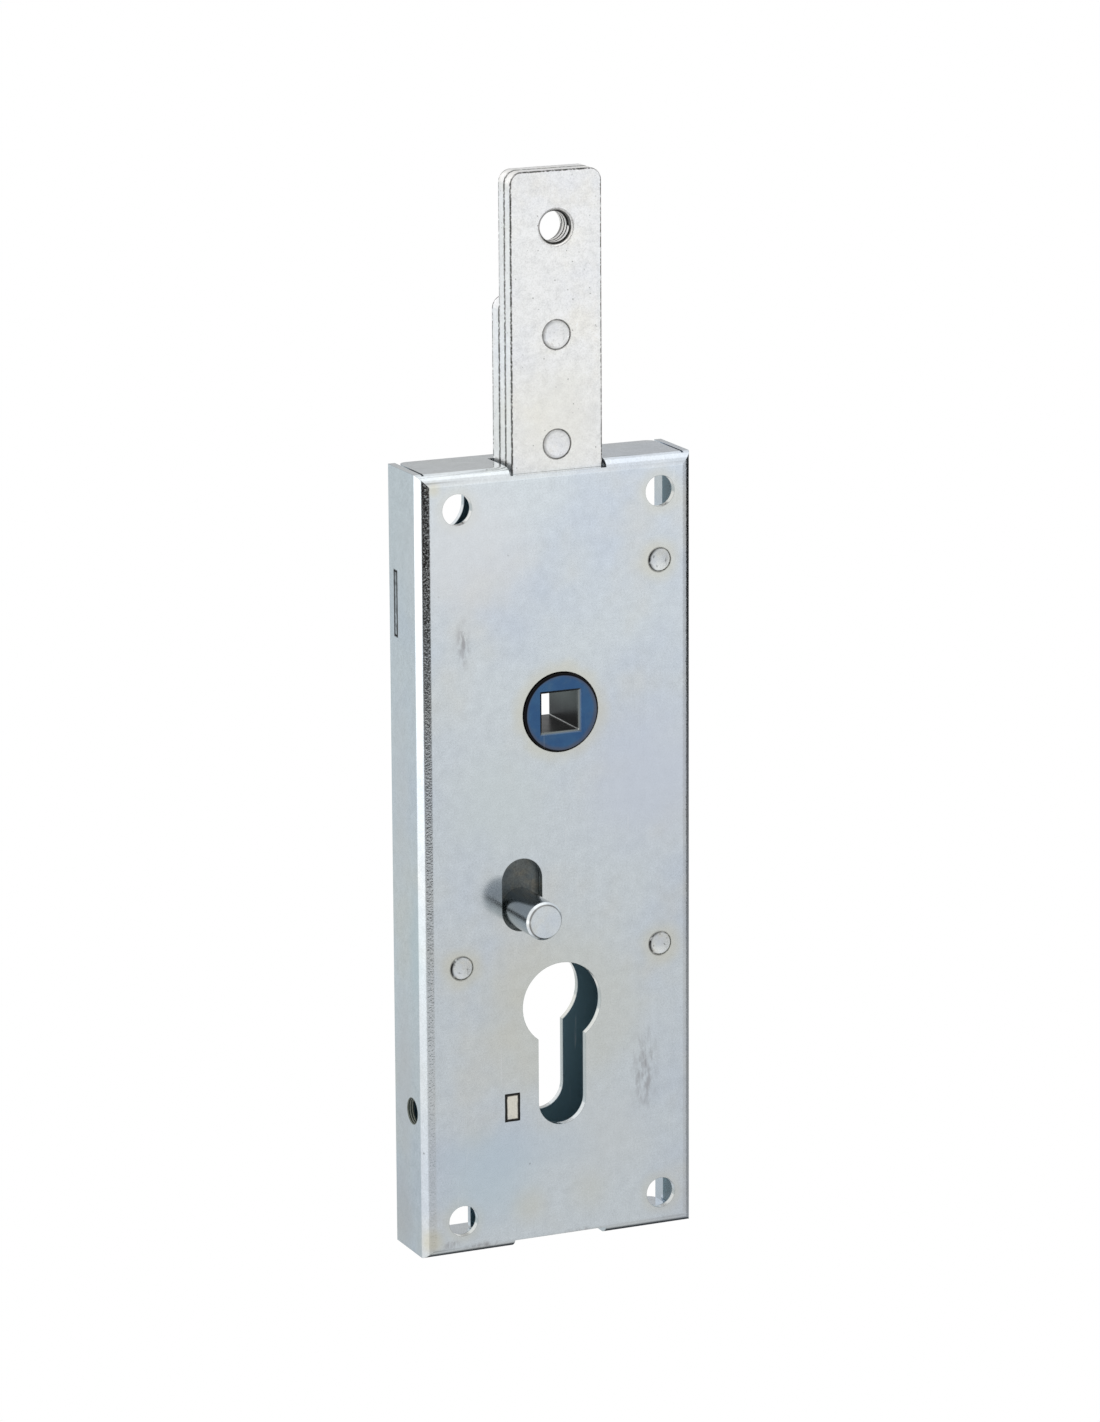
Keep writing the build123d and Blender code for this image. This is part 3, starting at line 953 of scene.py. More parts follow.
@dataclass(frozen=True)
class BoltFinish(PlatedFinish):
    """The bolt's plates, with painted shade on the wall of the tapped hole, and dark, dotted lines along
    the edges and, as painted shade, in the joints.

    Attributes:
        bore: the tapped hole's radius and a little more, in metres.
        wall: the colour of the painted shade on its wall.
        middle: the middle of the box that the bolt's outline fills, in metres.
        half: half its sides, in metres; along Y it is left open.
        seams: the depths of the edges and joints on its sides, in metres.
        seam_colour: the colour of the lines, which in the joints is painted shade.
    """

    bore: float = 0.00345
    wall: Colour = (0.20, 0.20, 0.19)
    middle: Point = (0.0003, 0.0, 0.0)
    half: Point = (0.0099, 1.0, 0.142)
    seams: Sequence[float] = (0.00165, 0.00465, 0.00765, 0.01115)
    seam_colour: Colour = (0.03, 0.03, 0.028)

    def special(self, paint: Paint) -> None:
        """Paints shade on the wall of the tapped hole and draws the lines, with painted shade in the
        joints.

        Args:
            paint: the material's graph.
        """
        # Painted shade on the wall of the tapped hole.
        paint.lay(paint.fade(paint.from_axis(TAPPED_HOLE), self.bore, self.bore + 0.0002), self.wall)
        place = paint.place()
        _, depth, _ = paint.split(place)
        _, facing, _ = paint.split(paint.add("TexCoord").outputs["Normal"])
        dotted = paint.smooth(paint.noise(place, 2200.0, 1.0), 0.34, 0.52)
        front = paint.smooth(paint.size(facing), 0.4, 0.8)
        outline = paint.use(
            paint.groups.frame_line, Centre=self.middle, Half=self.half, Width=RING_WIDTH
        )["Mask"]
        dark = paint.times(outline, front)
        # Painted shade in the joints between the plates, on the sides.
        for seam in self.seams:
            line = paint.fade(paint.size(paint.minus(depth, seam)), 0.0002, 0.0006)
            line = paint.times(line, paint.minus(1.0, front, clamp=True))
            dark = paint.math("MAXIMUM", dark, line)
        paint.lay(paint.times(dark, dotted), self.seam_colour)


@dataclass(frozen=True)
class ThreadFinish(PlatedFinish):
    """A cut thread: bright crests and painted shade in the roots.

    Attributes:
        crest: the radius of the crests, in metres.
        root: the radius of the roots, in metres.
        root_shade_colour: the colour of the painted shade in the roots.
    """

    crest: float = 0.0031
    root: float = 0.0034
    root_shade_colour: Colour = (0.03, 0.03, 0.03)

    def special(self, paint: Paint) -> None:
        """Paints shade into the roots."""
        # Painted shade in the roots of the thread.
        paint.lay(paint.smooth(paint.from_axis(TAPPED_HOLE), self.crest, self.root), self.root_shade_colour)


@dataclass(frozen=True)
class PinFinish(PlatedFinish):
    """The hand pin: a bright end with a painted dark outline of shade, and turned sides with painted
    light below and painted shade on top.

    Attributes:
        side: the colour of the lower side, which is painted light.
        top: the colour of the upper side, which is painted shade.
        centre: a point on the pin's axis, in metres.
        outline: the radius of the outline of painted shade on its end, in metres.
    """

    side: Colour = (0.50, 0.57, 0.61)
    top: Colour = (0.22, 0.25, 0.28)
    centre: Point = (-0.0088, 0.0, -0.0095)
    outline: float = 0.0035

    def special(self, paint: Paint) -> None:
        """Paints shade on the sides, darkest on top, and a shaded outline round the end.

        Args:
            paint: the material's graph.
        """
        _, y, z = paint.split(paint.add("TexCoord").outputs["Normal"])
        # Painted light and shade on the round sides: lighter below, darker on top.
        round_side = paint.fade(paint.size(y), 0.1, 0.5)
        paint.lay(round_side, paint.mix(paint.smooth(z, -0.3, 0.5), self.side, self.top))
        # Painted shade as a thin dark outline round the end.
        off = paint.size(paint.minus(paint.from_axis(self.centre), self.outline))
        line = paint.times(paint.fade(off, 0.00005, 0.0002), paint.invert(round_side))
        paint.lay(paint.times(line, 0.8), DIRT_AND_SHADE)


@dataclass(frozen=True)
class RivetFinish(PlatedFinish):
    """A hammered rivet head, with painted shade in its dents and in the gap round it.

    Attributes:
        rim_shade_dark: how dark the painted shade in the gap round it is.
        dent_shade_dark: how dark the painted shade in the dents is.
        rim_shade_colour: the colour of that painted shade.
    """

    rim_shade_dark: float = 1.0
    dent_shade_dark: float = 0.5
    rim_shade_colour: Colour = (0.02, 0.02, 0.02)

    def special(self, paint: Paint) -> None:
        """Paints shade into the dents, and into the gap at the rim, which the mesh carries as an
        attribute.

        Args:
            paint: the material's graph.
        """
        place = paint.place()
        rim = paint.add("Attribute", attribute_name="rim").outputs["Fac"]
        uneven = paint.smooth(paint.noise(place, 700.0, 2.0), 0.25, 0.5)
        dents = paint.smooth(paint.noise(place, 1400.0, 1.0), 0.64, 0.72)
        # Painted shade in the dents.
        paint.lay(paint.times(dents, self.dent_shade_dark), DIRT_AND_SHADE)
        # Painted shade in the gap round the rim, wider on one side.
        paint.lay(paint.times(paint.times(rim, uneven), self.rim_shade_dark), self.rim_shade_colour)


# --------------------------------------------------------------------------------------------
# Modelling


class Shaper:
    """Models one piece by hand in edit mode."""

    @staticmethod
    def start_clean() -> None:
        """Leaves edit mode and deselects everything."""
        if bpy.context.object and bpy.context.object.mode != "OBJECT":
            bpy.ops.object.mode_set(mode="OBJECT")
        bpy.ops.object.select_all(action="DESELECT")

    @staticmethod
    def choose(obj: Object, wanted: Callable[[bpy.types.MeshPolygon], bool]) -> int:
        """Selects faces by their place or normal, and goes back to edit mode.

        Args:
            obj: the piece, in edit mode.
            wanted: says whether a face is chosen.

        Returns:
            How many faces are selected.
        """
        bpy.ops.mesh.select_all(action="DESELECT")
        bpy.ops.object.mode_set(mode="OBJECT")
        count = 0
        for face in obj.data.polygons:
            face.select = wanted(face)
            count += face.select
        bpy.ops.object.mode_set(mode="EDIT")
        return count

    @staticmethod
    def finish(obj: Object, smooth_angle: float = 30.0) -> Object:
        """Leaves edit mode, puts the place into the mesh and shades the piece.

        Args:
            obj: the piece.
            smooth_angle: edges flatter than this are smooth, in degrees.

        Returns:
            The piece.
        """
        if obj.mode != "OBJECT":
            bpy.ops.object.mode_set(mode="OBJECT")
        bpy.ops.object.select_all(action="DESELECT")
        obj.select_set(True)
        bpy.context.view_layer.objects.active = obj
        bpy.ops.object.transform_apply(location=True, rotation=True, scale=True)
        bpy.ops.object.shade_smooth_by_angle(angle=math.radians(smooth_angle))
        obj.select_set(False)
        return obj


@dataclass(frozen=True)
class Step:
    """One step of a turned profile.

    Attributes:
        y: the depth, in mm.
        radius: the radius there, in mm.
    """

    y: float
    radius: float


@dataclass
class TurnedPiece:
    """A round piece along Y, drawn out ring by ring from its front disc.

    Attributes:
        name: the piece's name.
        x: its middle, in mm.
        z: its middle, in metres in the row frame.
        steps: the profile from the front backwards; the first step is the front face's edge.
        dish: how far the middle of the front face lies behind its edge, in mm.
        segments: the sides of the circle.
        gap_angle: the direction of the widest gap, where the painted shade at the rim is widest,
            anticlockwise from the right seen from the front.
        dish_rings: the rings of the dish inwards, each with its inset as a share of the first
            radius and its share of the depth.
    """

    name: str
    x: float
    z: float
    steps: Sequence[Step]
    dish: float = 0.0
    segments: int = 72
    gap_angle: float = 2.9
    dish_rings: Sequence[tuple[float, float]] = ((0.05, 0.0), (0.17, 0.35), (0.28, 0.4), (0.3, 0.25))

    def build(self) -> Object:
        """Models the piece.

        Returns:
            The piece's object.
        """
        Shaper.start_clean()
        first = self.steps[0]
        place = (self.x * MM, first.y * MM, self.z)
        bpy.ops.mesh.primitive_circle_add(
            vertices=self.segments,
            radius=first.radius * MM,
            fill_type="NGON",
            location=place,
            rotation=(math.pi / 2, 0, 0),
        )
        obj = bpy.context.object
        obj.name = self.name
        bpy.ops.object.transform_apply(location=True, rotation=True, scale=True)
        bpy.ops.object.mode_set(mode="EDIT")
        bpy.ops.mesh.select_all(action="SELECT")
        here = first
        for step in self.steps[1:]:
            move = (0, (step.y - here.y) * MM, 0)
            bpy.ops.mesh.extrude_region_move(TRANSFORM_OT_translate={"value": move})
            ratio = step.radius / here.radius
            if abs(ratio - 1.0) > 1e-6:
                centre = (self.x * MM, step.y * MM, self.z)
                bpy.ops.transform.resize(value=(ratio, 1.0, ratio), center_override=centre)
            here = step
        if self.dish:
            self.sink_front(obj)
        bpy.ops.mesh.select_all(action="SELECT")
        bpy.ops.mesh.normals_make_consistent(inside=False)
        Shaper.finish(obj)
        self.mark_rim(obj)
        return obj

    def sink_front(self, obj: Object) -> None:
        """Dishes the front face, ring by ring.

        Args:
            obj: the piece, in edit mode.
        """
        front = self.steps[0]
        tolerance = 0.001 * MM

        def at_front(face: bpy.types.MeshPolygon) -> bool:
            """Says whether a face is the front one."""
            return abs(face.center.y - front.y * MM) < tolerance and abs(face.normal.y) > 0.9

        if Shaper.choose(obj, at_front):
            for share, depth in self.dish_rings:
                bpy.ops.mesh.inset(thickness=share * front.radius * MM, depth=0)
                bpy.ops.transform.translate(value=(0, self.dish * depth * MM, 0))

    def mark_rim(self, obj: Object) -> None:
        """Stores a crescent of painted shade along the rim of the ends, wider where the piece stands off
        its hole.

        Args:
            obj: the finished piece.
        """
        edge, band, edge_value, band_lean = 0.9, 0.82, 0.2, 0.6
        rim = obj.data.attributes.new("rim", "FLOAT", "POINT")
        reach = max(step.radius for step in self.steps[:2]) * MM
        for vertex in obj.data.vertices:
            side, up = vertex.co.x - self.x * MM, vertex.co.z - self.z
            away = math.hypot(side, up) / reach
            lean = 0.5 * (1.0 + math.cos(math.atan2(up, side) - self.gap_angle))
            value = 0.0
            if away > edge:
                value = edge_value + (1.0 - edge_value) * lean
            elif away > band:
                value = max(0.0, (lean - band_lean) / (1.0 - band_lean))
            rim.data[vertex.index].value = value


@dataclass(frozen=True)
class SoftEdges:
    """The small rounding that stamping and plating leave on every edge of a sheet piece.

    Attributes:
        width: the width of the rounding, in mm.
        segments: its steps.
        angle: edges sharper than this are rounded, in degrees.
        weld: corners nearer than this are one, in mm.
        flat_angle: faces that turn less than this are merged, in degrees.
        flat_weight: how much large faces keep their own normal.
    """

    width: float = 0.16
    segments: int = 2
    angle: float = 35.0
    weld: float = 0.002
    flat_angle: float = 0.5
    flat_weight: int = 50

    def put_on(self, obj: Object) -> None:
        """Adds the rounding to a CAD node, as modifiers.

        Args:
            obj: the node's object.
        """
        obj.modifiers.new("weld", "WELD").merge_threshold = self.weld * MM
        flat = obj.modifiers.new("flat", "DECIMATE")
        flat.decimate_type = "DISSOLVE"
        flat.angle_limit = math.radians(self.flat_angle)
        bevel = obj.modifiers.new("bevel", "BEVEL")
        bevel.width = self.width * MM
        bevel.segments = self.segments
        bevel.limit_method = "ANGLE"
        bevel.angle_limit = math.radians(self.angle)
        bevel.loop_slide = False
        obj.modifiers.new("shade", "WEIGHTED_NORMAL").weight = self.flat_weight


# --------------------------------------------------------------------------------------------
# The lock


POSTS = {
    "spacer_post_upper_right": (22.4, 143.2),
    "spacer_post_lower_right": (22.4, 61.8),
    "spacer_post_lower_left": (-22.4, 61.8),
}


def spot(
    x: float,
    height: float,
    inner: float,
    outer: float,
    amount: float,
    colour: Colour = CREAM,
    stretch: Point = EVEN,
    streaky: bool = False,
    depth: float = 0.0,
) -> Patch:
    """A patch given in mm, on the front plate unless it has a depth.

    Args:
        x: its middle, in mm.
        height: its height above the bottom of the case, in mm.
        inner: where it starts to fade, in mm.
        outer: where it has gone, in mm.
        amount: how strong it is.
        colour: its tint.
        stretch: how distances count along X, Y and Z.
        streaky: breaks it up into fine upright marks.
        depth: how far it lies behind the front face, in mm.

    Returns:
        The patch.
    """
    centre = (x * MM, depth * MM, heights(height))
    return Patch(centre, stretch, inner * MM, outer * MM, amount, colour, streaky)


class Finishes:
    """Every material of the lock."""

    def __init__(self, groups: SharedGroups) -> None:
        """Builds the materials.

        Args:
            groups: the shared node groups.
        """
        posts = POSTS.values()
        corners = [(x, z) for x in (-22.5, 22.5) for z in (7.5, 157.5)]
        tenon = (-0.0113, 0.0, heights(30.6))
        self.sheet = SheetFinish(
            name="zinc_sheet",
            base=(0.71, 0.755, 0.78),
            cool=(0.62, 0.68, 0.77),
            warm=(0.72, 0.72, 0.68),
            cloud_amount=0.7,
            grain_amount=0.45,
            scratch_light=0.3,
            roughness=0.16,
            bump=0.000003,
            speck_share=0.05,
            patches=[
                spot(0.0, 113.5, 8.3, 12.0, 0.5),
                spot(0.0, 50.0, 10.0, 24.0, 0.3),
                *[spot(x, z, 2.4, 6.0, 0.45) for x, z in posts],
                *[spot(x, z, 3.0, 6.0, 0.3) for x, z in corners],
                spot(-20.0, 148.0, 4.0, 20.0, 0.5, (0.78, 0.78, 0.79)),
                spot(20.0, 98.0, 4.0, 22.0, 0.6, (0.66, 0.70, 0.80)),
                spot(-17.0, 16.0, 3.0, 15.0, 0.55, (0.62, 0.73, 0.79)),
                spot(-14.0, 96.0, 3.0, 16.0, 0.4, (0.70, 0.76, 0.75)),
                spot(10.0, 22.0, 2.0, 14.0, 0.35, (0.73, 0.74, 0.73)),
                spot(-21.5, 129.6, 0.5, 4.2, 0.75, SMEAR, (1.8, 1.0, 0.6), True),
                spot(18.9, 34.7, 0.5, 7.5, 0.7, SMEAR, (1.7, 1.0, 0.6), True),
                spot(-31.0, 38.0, 2.0, 9.0, 0.5, (0.70, 0.68, 0.69), (1.0, 1.5, 0.35), depth=10.5),
                spot(-31.0, 96.0, 2.0, 9.0, 0.4, (0.72, 0.71, 0.71), (1.0, 1.5, 0.3), depth=10.5),
                spot(-31.0, 66.0, 1.0, 7.0, 0.4, (0.58, 0.72, 0.76), (1.0, 1.5, 0.4), depth=4.0),
                spot(-31.0, 8.0, 2.0, 9.0, 0.5, (0.62, 0.60, 0.61), (1.0, 1.2, 0.7), depth=12.0),
                spot(-25.2, 2.7, 0.2, 2.2, 0.8, SMEAR, (0.8, 1.0, 1.6), True),
                spot(-18.0, 1.6, 0.2, 2.4, 0.7, SMEAR, (0.4, 1.0, 2.0), True),
                spot(4.0, 1.8, 0.2, 2.2, 0.5, SMEAR, (0.4, 1.0, 2.0), True),
                spot(-7.5, 8.9, 0.5, 6.0, 0.35),
                spot(6.2, 10.3, 0.5, 7.0, 0.25),
                spot(-27.7, 162.0, 0.2, 2.4, 0.6),
                spot(-29.6, 4.0, 0.8, 4.0, 0.6),
                spot(-9.7, 21.2, 2.0, 12.0, 0.35, SKY, (0.5, 1.0, 1.6)),
            ],
            # Painted shade in the gaps round the posts' riveted ends.
            rings=[
                Ring((x * MM, 0.0, heights(z)), 0.0026, 0.5, (0.0002, 0.0, 0.00004)) for x, z in posts
            ],
            # Painted shade in the gaps round the tab and the tenon.
            gaps=[
                GapShade((-0.0312, 0.01225, heights(136.7)), (0.0005, 0.00065, 0.0067), 0.0003),
                GapShade(tenon, (0.0016, 0.0012, 0.0029), 0.00012),
            ],
        ).make(groups)
        self.bolt = BoltFinish(
            name="zinc_bolt",
            base=(0.93, 0.93, 0.92),
            cool=(0.88, 0.90, 0.95),
            warm=(0.93, 0.90, 0.82),
            cloud_scale=60.0,
            grain_scale=3400.0,
            grain_amount=0.7,
            metallic=0.85,
            roughness=0.3,
            bump=0.00001,
            speck_share=0.3,
            speck_scale=800.0,
            speck_size=0.16,
            speck_dark=0.5,
            edge_width=0.0003,
            edge_low=0.003,
            edge_dark=1.3,
            patches=[spot(0.3, 174.0, 3.0, 16.0, 0.5, (0.90, 0.88, 0.79))],
            # Painted shade in the gaps round the bolt's rivets.
            rings=[
                Ring((0.0003, 0.00165, heights(z)), 0.00306, dark)
                for z, dark in ((168.8, 0.8), (191.2, 0.35))
            ],
        ).make(groups)
        self.rivet = RivetFinish(
            name="zinc_rivet",
            base=(0.74, 0.76, 0.755),
            cool=(0.66, 0.70, 0.76),
            warm=(0.74, 0.71, 0.62),
            cloud_scale=300.0,
            grain_amount=0.3,
            roughness=0.28,
            bump=0.000012,
        ).make(groups)
        self.bolt_rivet = RivetFinish(
            name="zinc_bolt_rivet",
            base=(0.91, 0.91, 0.90),
            cool=(0.86, 0.88, 0.93),
            warm=(0.91, 0.88, 0.80),
            cloud_scale=200.0,
            grain_scale=3400.0,
            grain_amount=0.6,
            metallic=0.85,
            roughness=0.3,
            rim_shade_dark=0.45,
            dent_shade_dark=0.15,
        ).make(groups)
        self.bracket = PlatedFinish(
            name="zinc_tenon",
            base=(0.80, 0.77, 0.68),
            cool=(0.74, 0.74, 0.72),
            warm=(0.78, 0.72, 0.56),
            cloud_scale=400.0,
            grain_amount=0.6,
            metallic=0.7,
            roughness=0.35,
            bump=0.000015,
            # Dark edges of dirt and painted shade, strong enough to widen the shaded gap round the
            # tenon.
            edge_dark=1.0,
            # Painted shade: a black border round the tenon, in the gap of its window.
            gaps=[GapShade(tenon, (0.0014, 0.0012, 0.00272), 0.00026)],
        ).make(groups)
        self.hub = HubFinish(
            name="hub_blue",
            base=(0.055, 0.135, 0.27),
            cool=(0.04, 0.10, 0.24),
            warm=(0.09, 0.16, 0.25),
            cloud_scale=220.0,
            roughness=0.3,
            bump=0.000003,
            speck_share=0.03,
        ).make(groups)
        self.thread = ThreadFinish(
            name="cut_thread",
            base=(0.86, 0.85, 0.82),
            cool=(0.80, 0.81, 0.84),
            warm=(0.86, 0.82, 0.74),
            cloud_scale=300.0,
            grain_amount=0.6,
            metallic=0.6,
            roughness=0.35,
            edge_dark=0.0,
        ).make(groups)
        # The lever and the spring seats lie in shade inside the case: their dark base is painted shade
        # on zinc.
        self.lever = PlatedFinish(
            name="zinc_lever_shaded",
            base=(0.14, 0.15, 0.145),
            cool=(0.10, 0.13, 0.15),
            warm=(0.20, 0.18, 0.14),
            cloud_scale=250.0,
            grain_amount=1.3,
            roughness=0.4,
            bump=0.000012,
            speck_share=0.3,
            speck_scale=900.0,
        ).make(groups)
        self.pin = PinFinish(
            name="zinc_pin",
            base=(0.76, 0.80, 0.82),
            cool=(0.64, 0.70, 0.78),
            warm=(0.76, 0.75, 0.68),
            cloud_scale=200.0,
            grain_amount=0.3,
            roughness=0.2,
            bump=0.000004,
            edge_dark=0.35,
        ).make(groups)
        self.spring = PlatedFinish(
            name="spring_wire",
            base=(0.42, 0.43, 0.45),
            cool=(0.36, 0.40, 0.46),
            warm=(0.42, 0.39, 0.33),
            roughness=0.3,
        ).make(groups)


@dataclass
class CaseAssembly:
    """The folded case with its cover, posts, bracket, stud, springs and their seats.

    Attributes:
        posts: how far each post stands to the right, and its height above the bottom of the
            case, in mm, by node.
        post_radius: the post's radius, in mm.
        rivet_radius: the radius of its riveted ends, in mm.
        sheet: the thickness of the sheet, in mm.
        cover_front: the depth of the cover's front face, in mm.
        chamfer: the chamfer at the posts' ends, in mm.
        dish: how far the middle of their front ends is sunk, in mm.
    """

    posts: dict[str, tuple[float, float]] = field(default_factory=lambda: dict(POSTS))
    post_radius: float = 3.5
    rivet_radius: float = 2.5
    sheet: float = 1.5
    cover_front: float = 11.5
    chamfer: float = 0.22
    dish: float = 0.12

    def post(self, name: str, x: float, height: float) -> Object:
        """Models a turned post whose front end is peened over in the plate.

        Args:
            name: the CAD node that it stands for.
            x: its middle, in mm.
            height: its height above the bottom of the case, in mm.

        Returns:
            The post.
        """
        back = self.cover_front + self.sheet
        steps = (
            Step(0.02, self.rivet_radius - self.chamfer),
            Step(0.16, self.rivet_radius),
            Step(self.sheet, self.rivet_radius),
            Step(self.sheet, self.post_radius),
            Step(self.cover_front, self.post_radius),
            Step(self.cover_front, self.rivet_radius),
            Step(back - self.chamfer, self.rivet_radius),
            Step(back, self.rivet_radius - self.chamfer),
        )
        piece = TurnedPiece(f"{name}_turned", x, heights(height), steps, self.dish).build()
        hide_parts(name)
        return piece

    def build(self, nodes: dict[str, Object], finishes: Finishes) -> None:
        """Dresses the case's nodes and models its posts.

        Args:
            nodes: the CAD nodes.
            finishes: the materials.
        """
        for name in ("case_shell", "rear_cover"):
            dress(nodes[name], finishes.sheet)
            SoftEdges().put_on(nodes[name])
        for name, material in (
            ("cylinder_screw_bracket", finishes.bracket),
            ("slide_guide_stud", finishes.rivet),
            ("return_spring_seat", finishes.lever),
            ("lever_spring_seat", finishes.lever),
            ("return_spring_rod", finishes.pin),
            ("lever_spring_rod", finishes.pin),
            ("return_spring", finishes.spring),
            ("lever_spring", finishes.spring),
        ):
            dress(nodes[name], material)
        for name, (x, height) in self.posts.items():
            place_piece(self.post(name, x, height), Body.CASE, finishes.rivet)


@dataclass
class BoltAssembly:
    """The two bolt plates, their rivets and the slide.

    Attributes:
        x: the bolt's middle, in mm.
        front: the depth of its front face, in mm.
        back: the depth of the slide's rear face, in mm.
        plate: the thickness of one plate, in mm.
        hole_height: the tapped hole's height above the bottom of the case, in mm.
        hole_radius: its radius, in mm.
        hole_chamfer: the chamfer at its mouths, in mm.
        pitch: the thread's pitch, in mm.
        ridge_width: the width of a ridge at its root, in mm.
        ridge_crest: the radius of the ridges' crests, in mm.
        ridge_root: how deep the ridges sit in the wall, in mm.
        ridge_steps: the steps of one turn of the thread.
        rivet_radius: the rivets' radius, in mm.
        rivet_chamfer: the chamfer at their ends, in mm.
        rivet_dish: how far the middle of their front ends is sunk, in mm.
        rivet_heights: the rivets' heights above the bottom of the case, in mm, by node.
    """

    x: float = 0.3
    front: float = 1.65
    back: float = 11.15
    plate: float = 3.0
    hole_height: float = 213.0
    hole_radius: float = 3.4
    hole_chamfer: float = 0.45
    pitch: float = 1.25
    ridge_width: float = 0.95
    ridge_crest: float = 3.1
    ridge_root: float = 0.08
    ridge_steps: int = 48
    rivet_radius: float = 3.0
    rivet_chamfer: float = 0.14
    rivet_dish: float = 0.06
    rivet_heights: dict[str, float] = field(
        default_factory=lambda: {"bolt_rivet_upper": 191.2, "bolt_rivet_lower": 168.8}
    )

    def rivet(self, name: str, height: float) -> Object:
        """Models a rivet that is set flush and slightly dished.

        Args:
            name: the CAD node that it stands for.
            height: its height above the bottom of the case, in mm.

        Returns:
            The rivet.
        """
        steps = (
            Step(self.front + 0.03, self.rivet_radius - self.rivet_chamfer),
            Step(self.front + 0.15, self.rivet_radius),
            Step(self.back - self.rivet_chamfer, self.rivet_radius),
            Step(self.back, self.rivet_radius - self.rivet_chamfer),
        )
        middle = (self.x, heights(height))
        piece = TurnedPiece(f"{name}_turned", *middle, steps, self.rivet_dish).build()
        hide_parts(name)
        return piece

    def thread(self) -> Object:
        """Models the ridges of the M8 thread in the tapped hole, as one helix.

        Returns:
            The ridges.
        """
        Shaper.start_clean()
        back = self.front + 2 * self.plate - self.hole_chamfer
        first = self.front + self.hole_chamfer + self.ridge_width / 2
        place = (self.x * MM, first * MM, heights(self.hole_height))
        radius = self.ridge_width / 2 * MM
        bpy.ops.mesh.primitive_circle_add(vertices=3, radius=radius, location=place)
        obj = bpy.context.object
        obj.name = "bolt_thread_ridges"
        bpy.ops.object.mode_set(mode="EDIT")
        bpy.ops.mesh.select_all(action="SELECT")
        bpy.ops.transform.rotate(value=math.pi / 2, orient_axis="Z", center_override=place)
        depth = self.hole_radius + self.ridge_root - self.ridge_crest
        narrow = depth / (0.75 * self.ridge_width)
        bpy.ops.transform.resize(value=(narrow, 1.0, 1.0), center_override=place)
        bpy.ops.transform.translate(value=((self.ridge_crest + depth / 3) * MM, 0, 0))
        bpy.ops.object.mode_set(mode="OBJECT")
        screw = obj.modifiers.new("screw", "SCREW")
        screw.axis = "Y"
        screw.angle = math.tau
        screw.screw_offset = self.pitch * MM
        screw.iterations = math.floor((back - first - self.ridge_width / 2) / self.pitch)
        screw.steps = self.ridge_steps
        screw.render_steps = self.ridge_steps
        screw.use_merge_vertices = True
        bpy.ops.object.modifier_apply(modifier="screw")
        bpy.ops.object.mode_set(mode="EDIT")
        bpy.ops.mesh.select_all(action="SELECT")
        bpy.ops.mesh.normals_make_consistent(inside=False)
        return Shaper.finish(obj, 40.0)

    def build(self, nodes: dict[str, Object], finishes: Finishes) -> None:
        """Dresses the bolt's nodes and models its rivets and its thread.

        Args:
            nodes: the CAD nodes.
            finishes: the materials.
        """
        for name in ("bolt_slide", "bolt_plate_front", "bolt_plate_rear"):
            dress(nodes[name], finishes.bolt)
            SoftEdges().put_on(nodes[name])
        for name, height in self.rivet_heights.items():
            place_piece(self.rivet(name, height), Body.BOLT, finishes.bolt_rivet)
        place_piece(self.thread(), Body.BOLT, finishes.thread)


@dataclass
class LeverAssembly:
    """The locking lever and its hand pin."""

    def build(self, nodes: dict[str, Object], finishes: Finishes) -> None:
        """Dresses the lever's nodes.

        Args:
            nodes: the CAD nodes.
            finishes: the materials.
        """
        dress(nodes["lock_lever"], finishes.lever)
        dress(nodes["lock_pin"], finishes.pin)


@dataclass
class HubAssembly:
    """The blue spindle hub."""

    def build(self, nodes: dict[str, Object], finishes: Finishes) -> None:
        """Dresses the hub.

        Args:
            nodes: the CAD nodes.
            finishes: the materials.
        """
        dress(nodes["spindle_hub"], finishes.hub)


def dress(obj: Object, material: bpy.types.Material) -> None:
    """Gives an object one material.

    Args:
        obj: the object.
        material: its material.
    """
    obj.data.materials.clear()
    obj.data.materials.append(material)


def place_piece(obj: Object, body: Body, material: bpy.types.Material) -> None:
    """Dresses a new piece and lets it ride on its body.

    Args:
        obj: the piece.
        body: the body that carries it.
        material: its material.
    """
    dress(obj, material)
    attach(obj, body.value)
    log.info("built %s on %s", obj.name, body.value)


# --------------------------------------------------------------------------------------------
# Studio and camera


def plane(name: str, size: float, height: float = 0.0) -> Object:
    """Adds a level plane.

    Args:
        name: its name.
        size: its side, in metres.
        height: its height, in metres.

    Returns:
        The plane.
    """
    bpy.ops.object.select_all(action="DESELECT")
    bpy.ops.mesh.primitive_plane_add(size=size, location=(0, 0, height))
    bpy.context.object.name = name
    return bpy.context.object


def new_material(obj: Object, name: str) -> Tree:
    """Gives an object a new material.

    Args:
        obj: the object.
        name: the material's name.

    Returns:
        The material's node tree.
    """
    material = bpy.data.materials.new(name)
    material.use_nodes = True
    dress(obj, material)
    return material.node_tree


def only_reflected(obj: Object) -> None:
    """Lets only the metal see an object."""
    obj.visible_camera = obj.visible_shadow = obj.visible_diffuse = False


@dataclass(frozen=True)
class Panel:
    """A flat rectangle beside the object.

    Attributes:
        name: its name.
        place: its middle.
        aim: the point that it faces.
        width: its width, in metres.
        height: its height, in metres.
        level: how bright it is, where 1 is white.
    """

    name: str
    place: Point
    aim: Point
    width: float
    height: float
    level: float

    def facing(self, axis: str) -> Quaternion:
        """Gives the turn that points an axis at the aim."""
        return (Vector(self.aim) - Vector(self.place)).to_track_quat(axis, "Y")


